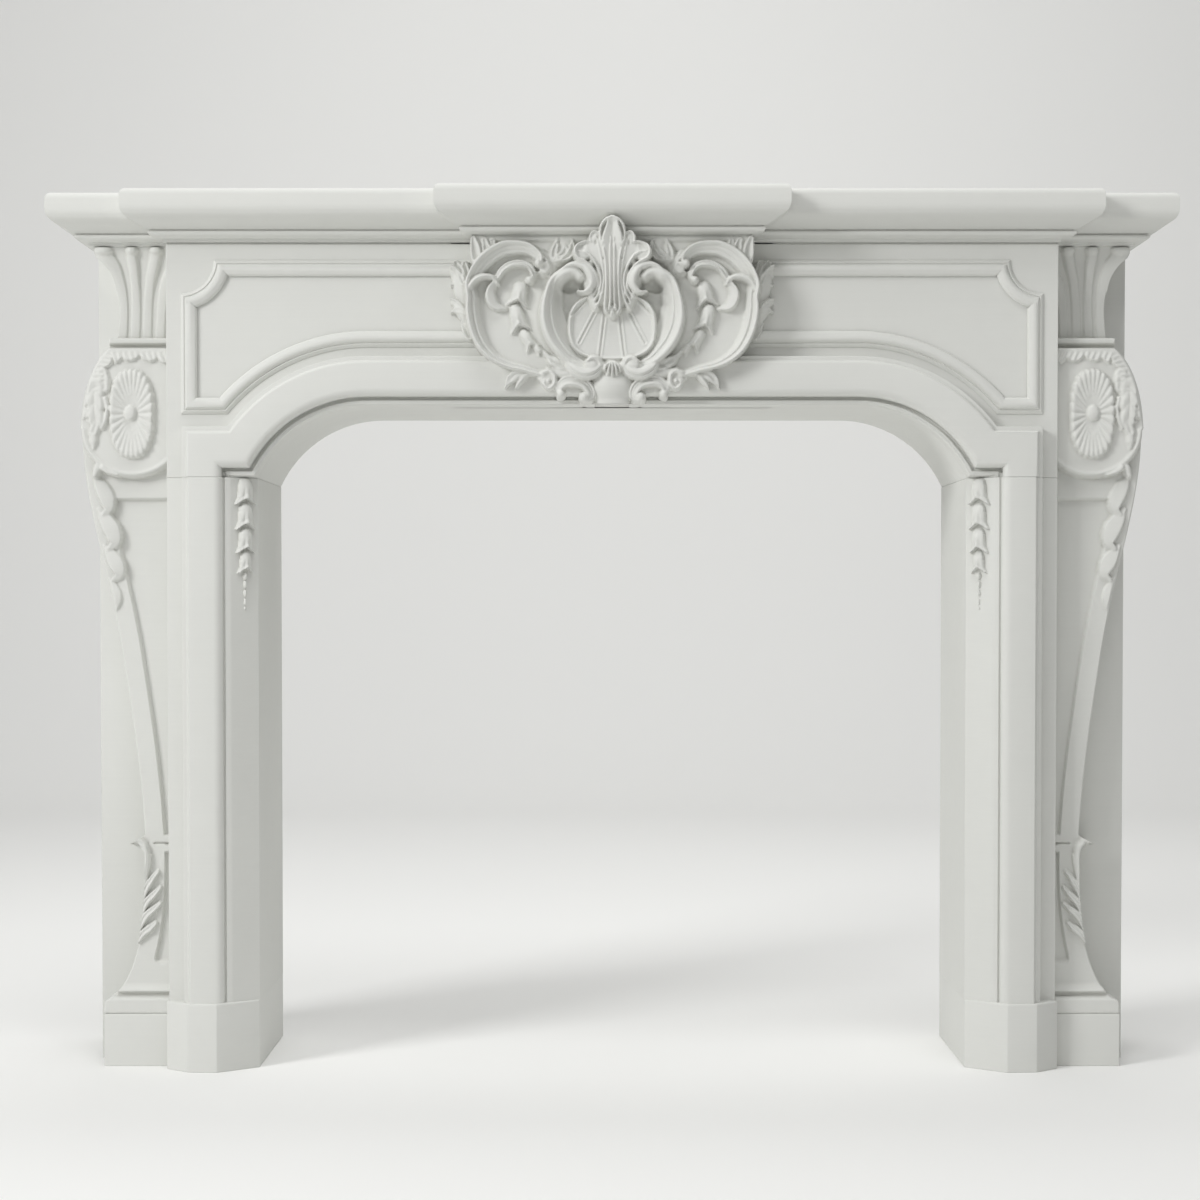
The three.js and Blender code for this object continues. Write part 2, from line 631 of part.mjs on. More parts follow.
/** The scroll and shaft of a console, with its sunk panel. */
function consoleBody() {
  const outline = [
    v2(legInner, riseAt(0)), v2(legInner, riseAt(0.994)), ...scrollEdge(), ...shaftEdge().slice(1),
  ];
  const body = frontSlab(outline, SLAB_DEPTH - ROOT, SHAFT_DEPTH);
  const panelTop = riseAt(0.765);
  const panelFoot = riseAt(0.055);
  const border = offsetOutline(shaftEdge(), -PANEL_BORDER)
    .filter((p) => p.y < panelTop && p.y > panelFoot);
  const pocket = [
    v2(legInner, panelTop), v2(border[0].x, panelTop), ...border,
    v2(border.at(-1).x, panelFoot), v2(legInner, panelFoot),
  ];
  return body.subtract(frontSlab(pocket, SHAFT_DEPTH - PANEL_SINK, SHAFT_DEPTH + ROOT));
}

/** The face of the scroll, flat under the bead, round below and eased at its edge. */
function consoleDisc() {
  const lower = arc(disc.x, disc.z, disc.rx, disc.rz, -15, -150, 9);
  const outline = [v2(legInner, riseAt(0.994)), ...scrollEdge(), ...lower, v2(legInner, disc.z)];
  const front = SHAFT_DEPTH + DISC_RISE;
  const levels = [[SHAFT_DEPTH - ROOT, 0], [front - 5, 0], [front, 5]];
  return skin(levels.map(([depth, inset]) => (
    offsetOutline(outline, -inset, true).map((p) => at(p.x, p.y, depth)))));
}

/** Carving on the front of the console: across, height and rise above the shaft. */
const onShaft = (x, z, rise) => at(x, z, SHAFT_DEPTH + rise);
const onDisc = (x, z, rise) => onShaft(x, z, rise + DISC_RISE);

/** The leaf fringe along the top of the scroll and down its outer edge. */
function scrollFringe() {
  const edge = new THREE.SplineCurve([v2(legOuter, riseAt(0.994)), ...scrollEdge()]);
  const leaves = 8;
  return Array.from({ length: leaves }, (_, i) => {
    const t = (i + 0.5) / leaves;
    const root = edge.getPointAt(t);
    const tip = root.clone().lerp(rosette.centre, 0.2 + 0.08 * t);
    return member([[root.x, root.y], [tip.x, tip.y]], onDisc, {
      width: [14, 13, 6], height: [2, 6, 3], section: RIDGE, stations: 2, root: 6,
    });
  });
}

/** The husks that hang along the outer edge of the shaft. */
function shaftHusks() {
  const husks = [[0.97, 0.8, 0.062], [0.885, 0.742, 0.056], [0.82, 0.688, 0.05], [0.74, 0.64, 0.042]];
  return husks.map(([reach, top, length]) => member([
    [reachAt(reach), riseAt(top)], [reachAt(reach - 0.04), riseAt(top - length * 0.55)],
    [reachAt(reach - 0.17), riseAt(top - length)],
  ], onShaft, { width: [5, 14, 7], height: [4, 12, 8], stations: 3 }));
}

/** The acanthus leaf that climbs the foot of the shaft: a curled stem and its lobes. */
function footLeaf() {
  const stem = member([
    [reachAt(0.38), riseAt(0.1)], [reachAt(0.34), riseAt(0.18)], [reachAt(0.32), riseAt(0.25)],
    [reachAt(0.45), riseAt(0.262)],
  ], onShaft, { width: [3, 6, 8, 4], height: [5, 9, 11, 10], section: RIDGE, stations: 4 });
  const lobes = Array.from({ length: 4 }, (_, i) => {
    const top = 0.222 - i * 0.03;
    return member([
      [reachAt(0.36), riseAt(top - 0.055)], [reachAt(0.27), riseAt(top - 0.018)],
      [reachAt(0.17), riseAt(top)],
    ], onShaft, { width: [5, 8, 5], height: [5, 8, 5], section: RIDGE, stations: 2 });
  });
  return [stem, ...lobes];
}

/** The fluted neck as a stack of plan sections: ribs that fan out up to the shelf. */
function consoleNeck() {
  const levels = 6;
  const ribs = [1, 0, -1, -2];
  const rings = Array.from({ length: levels + 1 }, (_, i) => {
    const t = i / levels;
    const flare = t ** 3;
    const spacing = CONSOLE_WIDTH * (0.165 + 0.14 * flare);
    const crest = SHAFT_DEPTH - (SHAFT_DEPTH - SLAB_DEPTH) * (0.44 - 0.4 * flare);
    const front = ribs.flatMap((k) => {
      const x = reachAt(0.47) + spacing * k;
      const outer = k === 1 ? spacing * (0.5 + 0.15 * flare) : spacing * 0.22;
      return [
        v2(x + outer, crest - FLUTE_DEPTH * (k === 1 ? 0.92 : 0.15)), v2(x + outer * 0.5, crest),
        v2(x - spacing * 0.2, crest), v2(x - spacing * 0.45, crest - FLUTE_DEPTH),
      ];
    });
    const outer = front[0].x;
    const inner = front.at(-1).x;
    return [v2(outer, SLAB_DEPTH - ROOT), ...front, v2(inner, SLAB_DEPTH - ROOT)]
      .map((p) => at(p.x, neckFoot - 1 + (NECK_HEIGHT + 1) * t, p.y));
  });
  return skin(rings);
}

/** A moulded bar across the console: its profile is depth and height, returned at the outer end. */
function consoleBar(outer, profile) {
  return skin(profile.map(([out, z]) => [
    v2(consoleInner, SLAB_DEPTH - ROOT), v2(consoleInner, SHAFT_DEPTH + out),
    v2(outer + out, SHAFT_DEPTH + out), v2(outer + out, SLAB_DEPTH - ROOT),
  ].map((p) => at(p.x, z, p.y))));
}

/** One console: its back slab, neck, bead, scroll, shaft, cap and carving. */
function consoleSolid() {
  const region = (inner, foot, from) => frontSlab([
    v2(inner, foot), v2(slabOuter * 2, foot), v2(slabOuter * 2, HEIGHT * 2), v2(inner, HEIGHT * 2),
  ], from, totalDepth);
  const slab = frontSlab([
    v2(consoleInner, 0), v2(slabOuter, 0), v2(slabOuter, consoleTop), v2(consoleInner, consoleTop),
  ], 0, SLAB_DEPTH);
  const bead = consoleBar(reachAt(0.78), [
    [-8, beadFoot - 2], [-1, beadFoot + 1], [1, beadFoot + BEAD_HEIGHT / 2], [-1, neckFoot - 1],
    [-8, neckFoot + 1],
  ]);
  const capOut = BLOCK_DEPTH - SHAFT_DEPTH;
  const cap = consoleBar(blockOuter - capOut, [
    [capOut - 2, consoleFoot], [capOut, consoleFoot + 2], [capOut, capTop - 6], [capOut - 6, capTop],
    [0, capTop + 5],
  ]);
  const flower = patera(rosette.centre, rosette.radii, onDisc, { petals: 14, height: 8, groove: 2 });
  const carved = joined([
    consoleNeck(), bead, consoleBody(), consoleDisc(), cap, flower, ...scrollFringe(),
    ...shaftHusks(), ...footLeaf(),
  ]).intersect(region(consoleInner, consoleFoot, 0)).intersect(region(0, 0, SLAB_DEPTH - ROOT));
  return slab.add(carved).subtract(plinthClearance());
}

/** The separate block under a console, in front of the slab, with a bevelled top edge. */
function consoleBlockSolid() {
  const inner = legOuter + PLINTH_PROJECTION + JOINT_GAP;
  const ring = (inset, z) => [
    v2(inner, SLAB_DEPTH + JOINT_GAP), v2(inner, BLOCK_DEPTH - inset),
    v2(blockOuter - inset, BLOCK_DEPTH - inset), v2(blockOuter - inset, SLAB_DEPTH + JOINT_GAP),
  ].map((p) => at(p.x, z, p.y));
  return skin([ring(0, 0), ring(0, BLOCK_HEIGHT - PLINTH_BEVEL), ring(PLINTH_BEVEL, BLOCK_HEIGHT)]);
}

// The assembled surround
const mantel = new THREE.Group();
const pairs = { leg: legSolid(), console: consoleSolid(), console_block: consoleBlockSolid() };
mantel.add(meshOf('shelf', shelfSolid()), meshOf('header', headerSolid()));
for (const [name, solid] of Object.entries(pairs)) {
  mantel.add(meshOf(`${name}_right`, solid), meshOf(`${name}_left`, solid, true));
}

export default mantel;
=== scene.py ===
"""Dresses a carved stone fireplace surround: shelf, header with its shell cartouche, moulded
legs, scroll consoles and their blocks, all in one off-white stone on a pale studio floor."""

import math

import bmesh
import bpy
import numpy as np
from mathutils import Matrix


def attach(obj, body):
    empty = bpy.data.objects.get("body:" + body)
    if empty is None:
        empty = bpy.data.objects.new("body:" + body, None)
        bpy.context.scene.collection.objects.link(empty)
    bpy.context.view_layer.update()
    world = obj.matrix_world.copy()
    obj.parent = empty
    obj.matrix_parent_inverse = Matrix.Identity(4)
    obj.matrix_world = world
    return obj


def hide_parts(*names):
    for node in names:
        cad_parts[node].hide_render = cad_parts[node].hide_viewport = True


bl_info = {
    "name": "Carved Fireplace Surround",
    "version": (1, 0, 0),
    "blender": (4, 5, 0),
    "location": "3D View > Sidebar > Surround",
    "description": "Carves the stone surround piece by piece around its packed frame",
    "category": "Object",
}

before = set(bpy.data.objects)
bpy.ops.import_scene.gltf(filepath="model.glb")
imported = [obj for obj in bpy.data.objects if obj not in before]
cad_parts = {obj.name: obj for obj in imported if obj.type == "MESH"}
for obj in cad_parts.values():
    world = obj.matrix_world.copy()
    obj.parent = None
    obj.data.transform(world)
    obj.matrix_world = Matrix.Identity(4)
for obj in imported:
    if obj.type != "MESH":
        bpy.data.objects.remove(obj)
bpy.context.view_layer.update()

# Sizes in millimetres. Heights above the floor, from the shelf down to the cap of a console block
HEIGHT = 1315.0
OVOLO = 1247.4
HEADER_TOP = 1240.7
NECK_FOOT = 1104.7
BEAD_FOOT = 1093.7
CROWN = 998.0
EAR_TOP = 955.2
SHOULDER = 908.1
JOINT = 891.0
LEG_TOP = 890.7
ARCH_Z = 814.0
CAP_TOP = 101.3
LEG_FOOT = 101.3
FOOT = 80.3

# Places across, from the centre line
ARCH_X = 366.9
CENTRE_HALF = 203.0
LEG_INNER = 533.5
FACE_INNER = 591.5
FACE_OUTER = 631.5
LEG_OUTER = 669.0
CONSOLE_INNER = 669.3
BLOCK_INNER = 671.8
BLOCK_OUTER = 770.5
SLAB_OUTER = 787.5

# Depths, measured forward from the wall
HALF_DEPTH = 180.0
SLAB = 182.0
NECK_FLOOR = 206.0
SHAFT = 232.0
DISC = 246.0
CAP = 249.0
REVEAL = 254.0
FRIEZE = 264.0
FILLET = 286.0
FACE = 295.0
CENTRE = 302.0

# Radii of the arch, from its opening out to the panels
ARCH_RADIUS = 184.0
BAND_RADIUS = 205.0
STRIP_RADIUS = 223.0
RIM_RADIUS = 246.0
PANEL_RADIUS = 272.0

# The cant on a leg: the end of its plan and the way it faces
CANT_EDGE = (570.5, 281)
CANT_NORMAL = np.array([-0.5895, 0.8078])

# The cartouche's reach each way and its height over the crown of the arch
CARTOUCHE_REACH = 242.0
CARTOUCHE_HEIGHT = 272.5

# The console's scroll, and how carving ends: a wall's width and its drop
SCROLL_HEIGHT = BEAD_FOOT - CAP_TOP
CONSOLE_WIDTH = 118.5
WALL = 1.7
DEEP = 60.0


# Plane curves

def arc(cx, cy, rx, ry, start, end, steps):
    """Points of an ellipse from one angle in degrees to another."""
    angle = np.radians(np.linspace(start, end, steps + 1))
    return np.column_stack([cx + rx * np.cos(angle), cy + ry * np.sin(angle)])


def bezier(controls, steps):
    """A cubic curve: its four controls weighted by the Bernstein polynomials of t."""
    t = np.linspace(0, 1, steps + 1)[:, None]
    a, b, c, d = np.array(controls, float)
    return (1 - t) ** 3 * a + 3 * (1 - t) ** 2 * t * b + 3 * (1 - t) * t ** 2 * c + t ** 3 * d


def spline(points, steps=6):
    """A smooth curve through the points: on each span, the Catmull-Rom cubic of its neighbours."""
    p = np.array(points, float)
    if len(p) < 3:
        return p
    p = np.vstack([2 * p[0] - p[1], p, 2 * p[-1] - p[-2]])
    t = np.linspace(0, 1, steps, endpoint=False)[None, :, None]
    a, b, c, d = (p[i:len(p) - 3 + i][:, None] for i in range(4))
    span = 0.5 * (2 * b + (c - a) * t + (2 * a - 5 * b + 4 * c - d) * t ** 2
                  + (3 * b - a - 3 * c + d) * t ** 3)
    return np.vstack([span.reshape(-1, 2), p[-2]])


def spread(values, share):
    """A row of values read at a share of its length, with its corners smoothed."""
    fine = np.linspace(0, 1, 97)
    row = np.interp(fine, np.linspace(0, 1, len(values)), values)
    reach = 48 // len(values)
    window = 2 * reach + 1
    row = np.convolve(np.pad(row, reach, "edge"), np.full(window, 1 / window), "valid")
    return np.interp(share, fine, row)


def offset(points, distance, closed=False):
    """Moves an outline to its left by a distance: each corner goes along the mean of its
    neighbours' normals, lengthened so that both sides keep the distance."""
    p = np.asarray(points, float)
    before, after = np.roll(p, 1, axis=0), np.roll(p, -1, axis=0)
    if not closed:
        before[0], after[-1] = 2 * p[0] - p[1], 2 * p[-1] - p[-2]
    into, out = p - before, after - p
    into = into / np.hypot(*into.T)[:, None]
    out = out / np.hypot(*out.T)[:, None]
    left_in, left_out = (np.column_stack([-d[:, 1], d[:, 0]]) for d in (into, out))
    mitre = (left_in + left_out) / (1 + (left_in * left_out).sum(axis=1))[:, None]
    return p + distance * mitre


def soften(points, radius, closed=False, steps=4):
    """Rounds each corner: a quadratic curve between points a radius, or 0.4 of the side if that
    is shorter, before and after it."""
    p = np.asarray(points, float)
    core = p if closed else p[1:-1]
    before = np.roll(p, 1, axis=0) if closed else p[:-2]
    after = np.roll(p, -1, axis=0) if closed else p[2:]

    def towards(other):
        gap = other - core
        length = np.maximum(np.hypot(*gap.T), 1e-9)
        return core + gap * (np.minimum(radius, 0.4 * length) / length)[:, None]

    start, end = towards(before)[:, None], towards(after)[:, None]
    t = np.linspace(0, 1, steps)[None, :, None]
    bend = ((1 - t) ** 2 * start + 2 * t * (1 - t) * core[:, None] + t ** 2 * end).reshape(-1, 2)
    return bend if closed else np.vstack([p[:1], bend, p[-1:]])


def mirrored(left):
    """A left half of an outline followed by its mirror image."""
    left = np.asarray(left, float)
    return np.vstack([left, left[::-1] * [-1, 1]])


def ease(distance, radius):
    """How far a rounded edge falls back at a distance in from it: a quarter circle."""
    short = np.clip(radius - distance, 0, radius)
    return radius - np.sqrt(radius ** 2 - short ** 2)


def step(value):
    """0 below 0, 1 above 1 and a smooth cubic between."""
    value = np.clip(value, 0, 1)
    return value * value * (3 - 2 * value)


# Pieces

class Piece:
    """Closed shells gathered for one piece, in millimetres, x to the right, z up and depth from
    the wall, with a hollowness for each point that the stone's finish reads as painted shade."""

    def __init__(self):
        self.points, self.faces, self.hollows, self.count = [], [], [], 0

    def add(self, x, z, depth, faces, hollow=0.0):
        """Adds one shell: its points as equal arrays and its faces as index lists."""
        x, z, depth = (np.ravel(v).astype(float) for v in np.broadcast_arrays(x, z, depth))
        self.points.append(np.column_stack([x, HALF_DEPTH - depth, z]) * 0.001)
        self.hollows.append(np.broadcast_to(hollow, x.shape).ravel())
        self.faces += [[self.count + i for i in face] for face in faces]
        self.count += len(x)

    def rings(self, x, z, depth, capped=True, hollow=0.0):
        """Adds a skin over rings of points, one ring a row, with flat ends or joined round."""
        rows, size = np.broadcast_shapes(np.shape(x), np.shape(z), np.shape(depth))
        index = np.arange(rows * size).reshape(rows, size)
        rows_next = index[1:] if capped else np.roll(index, -1, axis=0)
        here = index[:-1] if capped else index
        around = [here, np.roll(here, -1, axis=1), np.roll(rows_next, -1, axis=1), rows_next]
        faces = np.stack(around, axis=-1).reshape(-1, 4).tolist()
        if capped:
            faces += [index[0, ::-1].tolist(), index[-1].tolist()]
        self.add(*(np.broadcast_to(v, (rows, size)) for v in (x, z, depth)), faces, hollow)

    def slab(self, outline, levels):
        """Adds a block with a front outline; each level is its depth and how far it is drawn in."""
        depths, insets = np.array(levels).T
        outlines = np.stack([offset(outline, inset, closed=True) for inset in insets])
        self.rings(outlines[..., 0], outlines[..., 1], depths[:, None])

    def upright(self, outline, levels):
        """Adds a post with a plan outline of x and depth; each level is its height and inset."""
        heights, insets = np.array(levels).T
        outlines = np.stack([offset(outline, inset, closed=True) for inset in insets])
        self.rings(outlines[..., 0], heights[:, None], outlines[..., 1])

    def relief(self, x, z, depth, back, hollow):
        """Adds a carved block: its front is a grid, its sides go straight back to a depth that
        is given for each row, and its back joins the two sides row by row."""
        rows, columns = depth.shape
        front = np.arange(rows * columns).reshape(rows, columns)
        left = rows * columns + np.arange(rows)
        right = left + rows
        faces = [
            np.stack([front[:-1, :-1], front[:-1, 1:], front[1:, 1:], front[1:, :-1]], axis=-1),
            np.stack([left[:-1], front[:-1, 0], front[1:, 0], left[1:]], axis=-1),
            np.stack([front[:-1, -1], right[:-1], right[1:], front[1:, -1]], axis=-1),
            np.stack([right[:-1], left[:-1], left[1:], right[1:]], axis=-1),
        ]
        faces = np.vstack([f.reshape(-1, 4) for f in faces]).tolist()
        faces.append([left[0], right[0], *front[0, ::-1]])
        faces.append([right[-1], left[-1], *front[-1]])
        self.add(
            np.concatenate([x.ravel(), x[:, 0], x[:, -1]]),
            np.concatenate([z.ravel(), z[:, 0], z[:, -1]]),
            np.concatenate([depth.ravel(), back, back]), faces,
            np.concatenate([hollow.ravel(), np.zeros(2 * rows)]))

    def build(self, name, node, material, mirror=False, crease=35):
        """Makes the mesh object, turns its faces outward and puts it in its node's place."""
        points = np.vstack(self.points)
        if mirror:
            points = points * [-1, 1, 1]
        mesh = bpy.data.meshes.new(name)
        mesh.from_pydata(points.tolist(), [], self.faces)
        mesh.attributes.new("hollow", "FLOAT", "POINT").data.foreach_set(
            "value", np.concatenate(self.hollows).astype(np.float32))
        shells = bmesh.new()
        shells.from_mesh(mesh)
        bmesh.ops.recalc_face_normals(shells, faces=shells.faces)
        shells.to_mesh(mesh)
        shells.free()
        mesh.shade_smooth()
        mesh.set_sharp_from_angle(angle=math.radians(crease))
        mesh.materials.append(material)
        piece = bpy.data.objects.new(name, mesh)
        bpy.context.scene.collection.objects.link(piece)
        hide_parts(node)
        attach(piece, "root")
        return piece


# Carving

def section(*table):
    """The cross-section of a stroke, from its table of side (-1 right to 1 left) and height:
    straight between the entries, then smoothed over a twentieth of the width."""
    side, height = np.array(table).T
    fine = np.linspace(-1, 1, 161)
    height = np.pad(np.interp(fine, side, height), 4, "edge")
    smooth = np.convolve(height, np.full(9, 1 / 9), "valid")
    return lambda at, along: np.interp(at, fine, smooth)


def lobed(lobes, lean=0.35, cut=0.3):
    """A leaf's cross-section: a hollow midrib between full sides, cut by grooves that lean to
    the tip. Its height is the plain leaf's, less a share of |sin| of the place along it."""
    plain = section((-1, 0.35), (-0.6, 0.95), (-0.12, 0.8), (0, 0.62), (0.12, 0.8), (0.6, 0.95),
                    (1, 0.35))

    def leaf(at, along):
        lobe = np.abs(np.sin(np.pi * lobes * (along - lean * np.abs(at)))) ** 0.6
        return plain(at, along) * (1 - cut * (1 - lobe) * (0.35 + 0.65 * np.abs(at)))

    return leaf


def scalloped(lobes, lean=0.35, bite=0.2):
    """The edge of a lobed leaf: its width drops between the lobes by a share of |sin|."""
    return lambda along: 1 - bite * (1 - np.abs(np.sin(np.pi * lobes * (along - lean))) ** 0.6)


def blend(first, second, start, end):
    """One cross-section that turns into another between two shares of the stroke."""
    def mixed(at, along):
        share = step((along - start) / (end - start))
        return first(at, along) * (1 - share) + second(at, along) * share
    return mixed


def round_back(at, along):
    """A full round: the height of a circle over its width."""
    return np.sqrt(np.maximum(1 - 0.86 * at ** 2, 0))


RIDGE = section((-1, 0.15), (-0.12, 0.97), (0.12, 0.97), (1, 0.15))
GOUGED = section((-1, 0.6), (-0.75, 1), (-0.2, 0.62), (0.2, 0.62), (0.75, 1), (1, 0.6))
LIPPED = section((-1, 0.2), (-0.5, 0.45), (0.2, 0.6), (0.5, 0.95), (0.8, 1), (1, 0.7))


def melt(low, high, width):
    """The larger of two heights, with the crease between them filled over a width."""
    near = np.maximum(width - np.abs(low - high), 0)
    return np.maximum(low, high) + near ** 2 / (4 * width)


class Relief:
    """A carved face: depths over a grid of places, raised stroke by stroke."""

    def __init__(self, x, z, depth):
        self.x, self.z = np.broadcast_arrays(x, z)
        self.depth = np.broadcast_to(depth, self.x.shape).astype(float)

    def window(self, low, high):
        """The cells inside a box."""
        return np.nonzero((self.x > low[0]) & (self.x < high[0])
                          & (self.z > low[1]) & (self.z < high[1]))

    def oval(self, centre, radii, margin=0):
        """The cells in an oval's box and a margin, with their place from its centre in radii."""
        centre, radii = np.array(centre, float), np.array(radii, float)
        cells = self.window(centre - radii - margin, centre + radii + margin)
        return cells, (self.x[cells] - centre[0]) / radii[0], (self.z[cells] - centre[1]) / radii[1]

    def near(self, curve, reach):
        """The cells near a curve, each with its share along the curve and its distance to the
        curve's left, from the nearest point on the nearest chord."""
        cells = self.window(curve.min(axis=0) - reach, curve.max(axis=0) + reach)
        place = np.stack([self.x[cells], self.z[cells]], axis=1)[:, None]
        chord = np.diff(curve, axis=0)
        length = np.hypot(*chord.T)
        share = np.clip(((place - curve[:-1]) * chord).sum(axis=2) / length ** 2, 0, 1)
        gap = place - curve[:-1] - share[..., None] * chord
        distance = np.hypot(gap[..., 0], gap[..., 1])
        best = distance.argmin(axis=1)
        rows = np.arange(len(best))
        side = chord[best, 0] * gap[rows, best, 1] - chord[best, 1] * gap[rows, best, 0]
        travelled = np.concatenate([[0], np.cumsum(length)])
        along = (travelled[best] + share[rows, best] * length[best]) / travelled[-1]
        return cells, along, np.copysign(distance[rows, best], side)

    def raise_to(self, cells, top, base, inside, blend_width=1.2):
        """Raises cells to a height over a base; where a stroke ends its wall drops far below."""
        height = base - DEEP + (top + DEEP) * step(inside)
        self.depth[cells] = melt(self.depth[cells], height, blend_width)

    def stroke(self, points, width, rise, base, form=round_back, edge=None, wall=WALL):
        """Raises a stroke along a smooth curve: half widths and rises spread along it, and a
        cross-section over its width."""
        curve = spline(points)
        cells, along, across = self.near(curve, max(width) + wall)
        half = spread(width, along)
        if edge is not None:
            half = half * edge(along)
        top = spread(rise, along) * form(np.clip(across / half, -1, 1), along)
        self.raise_to(cells, top, base, (half + 0.5 * wall - np.abs(across)) / wall)

    def dome(self, centre, radii, rise, base, foot=0.0, wall=WALL):
        """Raises a dome: the foot's height plus the rest of its rise over an ellipse."""
        cells, dx, dz = self.oval(centre, radii, wall)
        out = np.hypot(dx, dz)
        top = foot + (rise - foot) * np.sqrt(np.maximum(1 - out ** 2, 0))
        self.raise_to(cells, top, base, (1 - out) * min(radii) / wall + 0.5)

    def carve(self, base, *marks):
        """Raises marks from one base in turn. A stroke's row is its points, half widths and rises,
        then its cross-section and edge; a dome's is its centre, radii, rise and foot."""
        for shape, size, rise, *rest in marks:
            mark = self.stroke if np.ndim(shape) == 2 else self.dome
            mark(shape, size, rise, base, *rest)

    def pit(self, centre, radii, sink):
        """Sinks a small rounded pit."""
        cells, dx, dz = self.oval(centre, radii)
        self.depth[cells] -= sink * np.maximum(1 - dx ** 2 - dz ** 2, 0)

    def score(self, points, reach, profile):
        """Adds a profile, a function of the distance from a curve, to the depth beside it."""
        cells, _, across = self.near(spline(points), reach)
        near = np.abs(across) < reach
        cells = tuple(axis[near] for axis in cells)
        self.depth[cells] += profile(across[near])

    def bell(self, top, foot, half, rise, base, wall=1.5):
        """Raises a bellflower that hangs from its top to its foot. Along it the half width goes
        from a narrow head over a full body and a waist to flared tips; across it the open end
        is notched in the middle and its two petals have a vein and a turned-out rim."""
        top, foot = np.array(top, float), np.array(foot, float)
        length = np.hypot(*(foot - top))
        down = (foot - top) / length
        cells = self.window(np.minimum(top, foot) - half * 1.2, np.maximum(top, foot) + half * 1.2)
        dx, dz = self.x[cells] - top[0], self.z[cells] - top[1]
        along = (dx * down[0] + dz * down[1]) / length
        across = (dx * down[1] - dz * down[0]) / half
        outline = np.interp(along, [0, 0.06, 0.2, 0.45, 0.68, 0.9, 1],
                            [0.34, 0.52, 0.64, 0.7, 0.72, 0.97, 1.08])
        side = np.clip(across / outline, -1.3, 1.3)
        end = 0.76 + 0.24 * np.minimum(np.abs(side) / 0.86, 1) ** 1.4
        body = 0.45 + 0.55 * np.sin(np.pi * np.clip(along / 0.85, 0, 1)) ** 0.6
        rim = 0.3 * step((along - end + 0.22) / 0.2)
        vein = 0.06 * np.exp(-(side / 0.2) ** 2) - 0.1 * np.exp(-((np.abs(side) - 0.4) / 0.14) ** 2)
        vein = vein * step((along - 0.25) / 0.3)
        height = rise * (np.sqrt(np.maximum(1 - 0.72 * side ** 2, 0)) * (body + vein) + rim)
        inside = np.minimum((1 - np.abs(side)) * half * outline, (end - along) * length)
        inside = np.minimum(inside, along * length + 0.1 * half)
        self.raise_to(cells, height, base, inside / wall + 0.5)

    def smooth(self):
        """Rubs the face down: each cell becomes half itself and a quarter of each neighbour,
        down the columns and then, through a turned view of the same depths, along the rows."""
        for depth in (self.depth, self.depth.T):
            depth[1:-1] = 0.5 * (depth[1:-1] + 0.5 * (depth[:-2] + depth[2:]))

    def hollowness(self, reach):
        """How far each cell lies below the mean of its surroundings, against 4 mm; the stone paints
        shade by it.
        """
        total = np.cumsum(np.cumsum(np.pad(self.depth, reach + 1, "edge"), axis=0), axis=1)
        size = 2 * reach + 1
        rows, columns = self.depth.shape
        mean = (total[size:size + rows, size:size + columns] - total[:rows, size:size + columns]
                - total[size:size + rows, :columns] + total[:rows, :columns]) / size ** 2
        return np.clip((mean - self.depth) / 4, -1, 1)


# Shelf

def shelf_profile():
    """The shelf's edge, as projection beyond its bed and height: a rounded nose over a long
    slanted underside, a dark quirk, a small ovolo and a neck over a narrow joint."""
    top = arc(49, -10, 9, 10, 90, 0, 8)
    under = soften([top[-1], (58, -30), (53, -39.6), (24, -55.4)], 7, steps=8)[1:]
    quirk = soften([under[-1], (19.4, -56), (19.4, -58), (22.6, -58.6), (22.8, -60)], 0.5)[1:]
    ovolo = arc(8.6, -60, 14.2, 6.8, -8, -82, 8)
    neck = soften([(10.4, -66.8), (3.8, -67), (3.4, -71.4), (-3, -71.9), (-3, -74.3)], 0.4)
    return np.vstack([top, under, quirk, ovolo, neck]) + [0, HEIGHT]


def shelf_plan():
    """The plan of the shelf's bed: an end, a main and a centre step on each side."""
    end = FRIEZE - 38
    return mirrored([
        (-SLAB_OUTER, 0), (-SLAB_OUTER, end), (-LEG_OUTER, end), (-LEG_OUTER, FRIEZE),
        (-CENTRE_HALF, FRIEZE), (-CENTRE_HALF, CENTRE),
    ])


def carve_shelf(piece):
    """The shelf: its profile carried round its plan, with mitred corners."""
    profile = shelf_profile()
    plan = shelf_plan()
    outlines = np.stack([offset(plan, out) for out in profile[:, 0]])
    piece.rings(outlines[..., 0], profile[:, 1:], outlines[..., 1])


# Header

def arch_flank(radius, height, steps):
    """The left half of the arch at a radius, from a height on its flank to its crown."""
    start = math.degrees(math.asin((height - ARCH_Z) / radius))
    return arc(-ARCH_X, ARCH_Z, radius, radius, 180 - start, 90, steps)


def opened(radius):
    """The header's front outline, cut by the arch at a radius."""
    arch = mirrored(arch_flank(radius, JOINT, 32))
    return np.vstack([mirrored([(-LEG_OUTER, JOINT), (-LEG_OUTER, HEADER_TOP)]), arch[::-1]])


